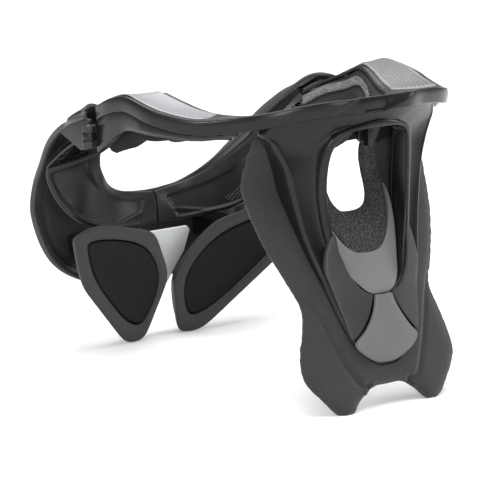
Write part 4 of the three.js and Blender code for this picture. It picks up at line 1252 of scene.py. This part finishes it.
def makeChestPads():
    spec = chest
    corners = [Vector((x * spec["halfWidth"], 0, z * spec["height"])) for x, z in spec["outline"]]
    outline = roundedCorners(corners, spec["rounding"], spec["stations"])
    middle = sum(corners, Vector()) / len(corners)

    count = spec["stations"]

    def evened(loop, rounds):  # rounds off the corners of a closed loop
        for turn in range(rounds):
            loop = [(loop[k - 1] + loop[k] * 2 + loop[(k + 1) % count]) / 4 for k in range(count)]
        return loop

    rounder = evened(outline, spec["roundsBefore"])
    shrunk = grownLoop([(p.x, p.z) for p in rounder], spec["lossInRounding"] - spec["margin"])

    def nearer(x):             # toward the middle plane
        return x - spec["insertShift"] * fade(x, *spec["shiftOver"])

    inner = evened([Vector((nearer(x), 0, z)) for x, z in shrunk], spec["roundsAfter"])

    def place(turn, toward, deep, portion=False):
        k = round(turn * count) % count
        if portion:
            flat = middle + (inner[k] - middle) * toward
        else:
            flat = outline[k] + (inner[k] - outline[k]) * toward / spec["margin"]
        return Vector((flat.x, chestFace(flat.x, flat.z) - deep, flat.z))

    padFrame = loopBody(spec["stations"], spec["frameSection"], place)
    section = spec["insertSection"] + [(part, deep, True) for part, deep in spec["insertShares"]]
    section += [(0.0, 13, True), (0.5, 13, True)]
    insert = loopBody(spec["stations"], section, place)
    for name, bm, look, slotName in (("chest_pad_frame", padFrame, "padRubber", "liner_rubber"),
                                     ("chest_pad_insert", insert, "insert", "insert_rubber")):
        for piece in keepBoth(name + "_{}_soft", bm, finish[look], "{}_arm", name + "_{}"):
            subdivide(piece, 1)


latch = {
    "lower": 2.6,              # how much lower than the frame's plate its top edge lies
    "screw": {"x": -17, "z": 77, "half": 2.2, "proud": 0.5, "length": 1.2, "dish": 0.6},
}


def makeLatch():
    bm = nodeCopy("latch_plate", 8)
    for corner in bm.verts:
        corner.co.z -= latch["lower"] * mm * fade(corner.co.z / mm, 60, 85)
    roundEdges(bm, 1.1, 3, 30)
    plate = bm.copy()
    piece = keep("latch_plate_smooth", bm, finish["white"], "left_arm", ["latch_plate"])
    shadeByAngle(piece, 30)
    screw = latch["screw"]
    rear = BVHTree.FromBMesh(plate).ray_cast(toFrame(screw["x"], 0, screw["z"]), Vector((0, -1, 0)))[0]
    plate.free()
    bm = bmesh.new()
    bmesh.ops.create_circle(bm, cap_ends=True, segments=24, radius=screw["half"])
    bmesh.ops.inset_region(bm, faces=bm.faces[:], thickness=screw["half"] * 0.45, depth=-screw["dish"])
    raised = bmesh.ops.extrude_face_region(bm, geom=bm.faces[:])["geom"]
    bmesh.ops.translate(bm, vec=(0, 0, -screw["length"]), verts=cornersIn(raised))
    for corner in bm.verts:
        x, z = screw["x"] + corner.co.x, screw["z"] + corner.co.y
        lean = chest["lean"] * (z - screw["z"])
        corner.co = toFrame(x, rear.y / mm - rearShift + lean + screw["proud"] + corner.co.z, z)
    bmesh.ops.recalc_face_normals(bm, faces=bm.faces)
    keep("latch_screw", bm, finish["nylon"], "left_arm", smooth=False)


makeChestPads()
makeLatch()
print("chest pads made")


# Floor, light and camera

studio = {
    "floorHalf": 4.0, "sky": 0.45,
    "lights": [                # name, place, size, power; the high ones shine straight down
        ("softTop", (0.1, 0.2, 2.6), 2.6, 80),
        ("softFar", (-1.6, -2.0, 2.4), 2.4, 34),
        ("softLeft", (2.2, 0.2, 1.0), 0.7, 26),
        ("softRear", (1.3, 2.4, 0.8), 1.0, 30),
        ("softRight", (-2.2, 0.9, 1.0), 0.9, 16),
    ],
    "azimuth": 141.12, "elevation": 11.84, "distance": 3.0, "aimHeight": 0.130,
    "lens": 279.1, "shiftX": -0.0677, "shiftY": -0.0556,
}


def makeFloor():
    bm = bmesh.new()
    bmesh.ops.create_grid(bm, x_segments=1, y_segments=1, size=studio["floorHalf"])
    mesh = bpy.data.meshes.new("studio_floor")
    bm.to_mesh(mesh)
    bm.free()
    material, tree, shader, place = newMaterial("matPaper", {"roughness": 0.9})
    fibre = addNode(tree, "ShaderNodeTexNoise", {"Scale": 6, "Detail": 2}, {"Vector": place})
    blend(tree, shader, "#f4f4f4", "#f7f7f7", fibre.outputs["Fac"])
    mesh.materials.append(material)
    floor = bpy.data.objects.new("studio_floor", mesh)
    bpy.context.scene.collection.objects.link(floor)


def makeLights():
    aim = Vector((0, 0, studio["aimHeight"]))
    for name, place, size, power in studio["lights"]:
        lamp = bpy.data.lights.new(name, "AREA")
        lamp.shape = "DISK"
        lamp.size = size
        lamp.energy = power
        lampObject = bpy.data.objects.new(name, lamp)
        lampObject.location = place
        target = Vector((place[0], place[1], 0)) if place[2] > 2 else aim
        lampObject.rotation_euler = (target - Vector(place)).to_track_quat("-Z", "Y").to_euler()
        bpy.context.scene.collection.objects.link(lampObject)
    world = bpy.data.worlds.new("paleStudio")
    world.use_nodes = True
    world.node_tree.nodes["Background"].inputs["Color"].default_value = (1, 1, 1, 1)
    world.node_tree.nodes["Background"].inputs["Strength"].default_value = studio["sky"]
    bpy.context.scene.world = world


def makeCamera():
    turn, rise = math.radians(studio["azimuth"]), math.radians(studio["elevation"])
    back = Vector((math.sin(turn) * math.cos(rise), -math.cos(turn) * math.cos(rise), math.sin(rise)))
    aim = toFrame(0, 0, studio["aimHeight"] / mm)
    camera = bpy.data.objects.new("photoCamera", bpy.data.cameras.new("photoCamera"))
    camera.location = aim + back * studio["distance"]
    camera.rotation_euler = (-back).to_track_quat("-Z", "Y").to_euler()
    camera.data.sensor_width = 36
    camera.data.lens = studio["lens"]
    camera.data.shift_x = studio["shiftX"]
    camera.data.shift_y = studio["shiftY"]
    camera.data.clip_end = 50
    bpy.context.scene.collection.objects.link(camera)
    bpy.context.scene.camera = camera


makeFloor()
makeLights()
makeCamera()
bpy.context.scene.view_settings.view_transform = "Standard"
bpy.context.view_layer.update()
print("studio made")
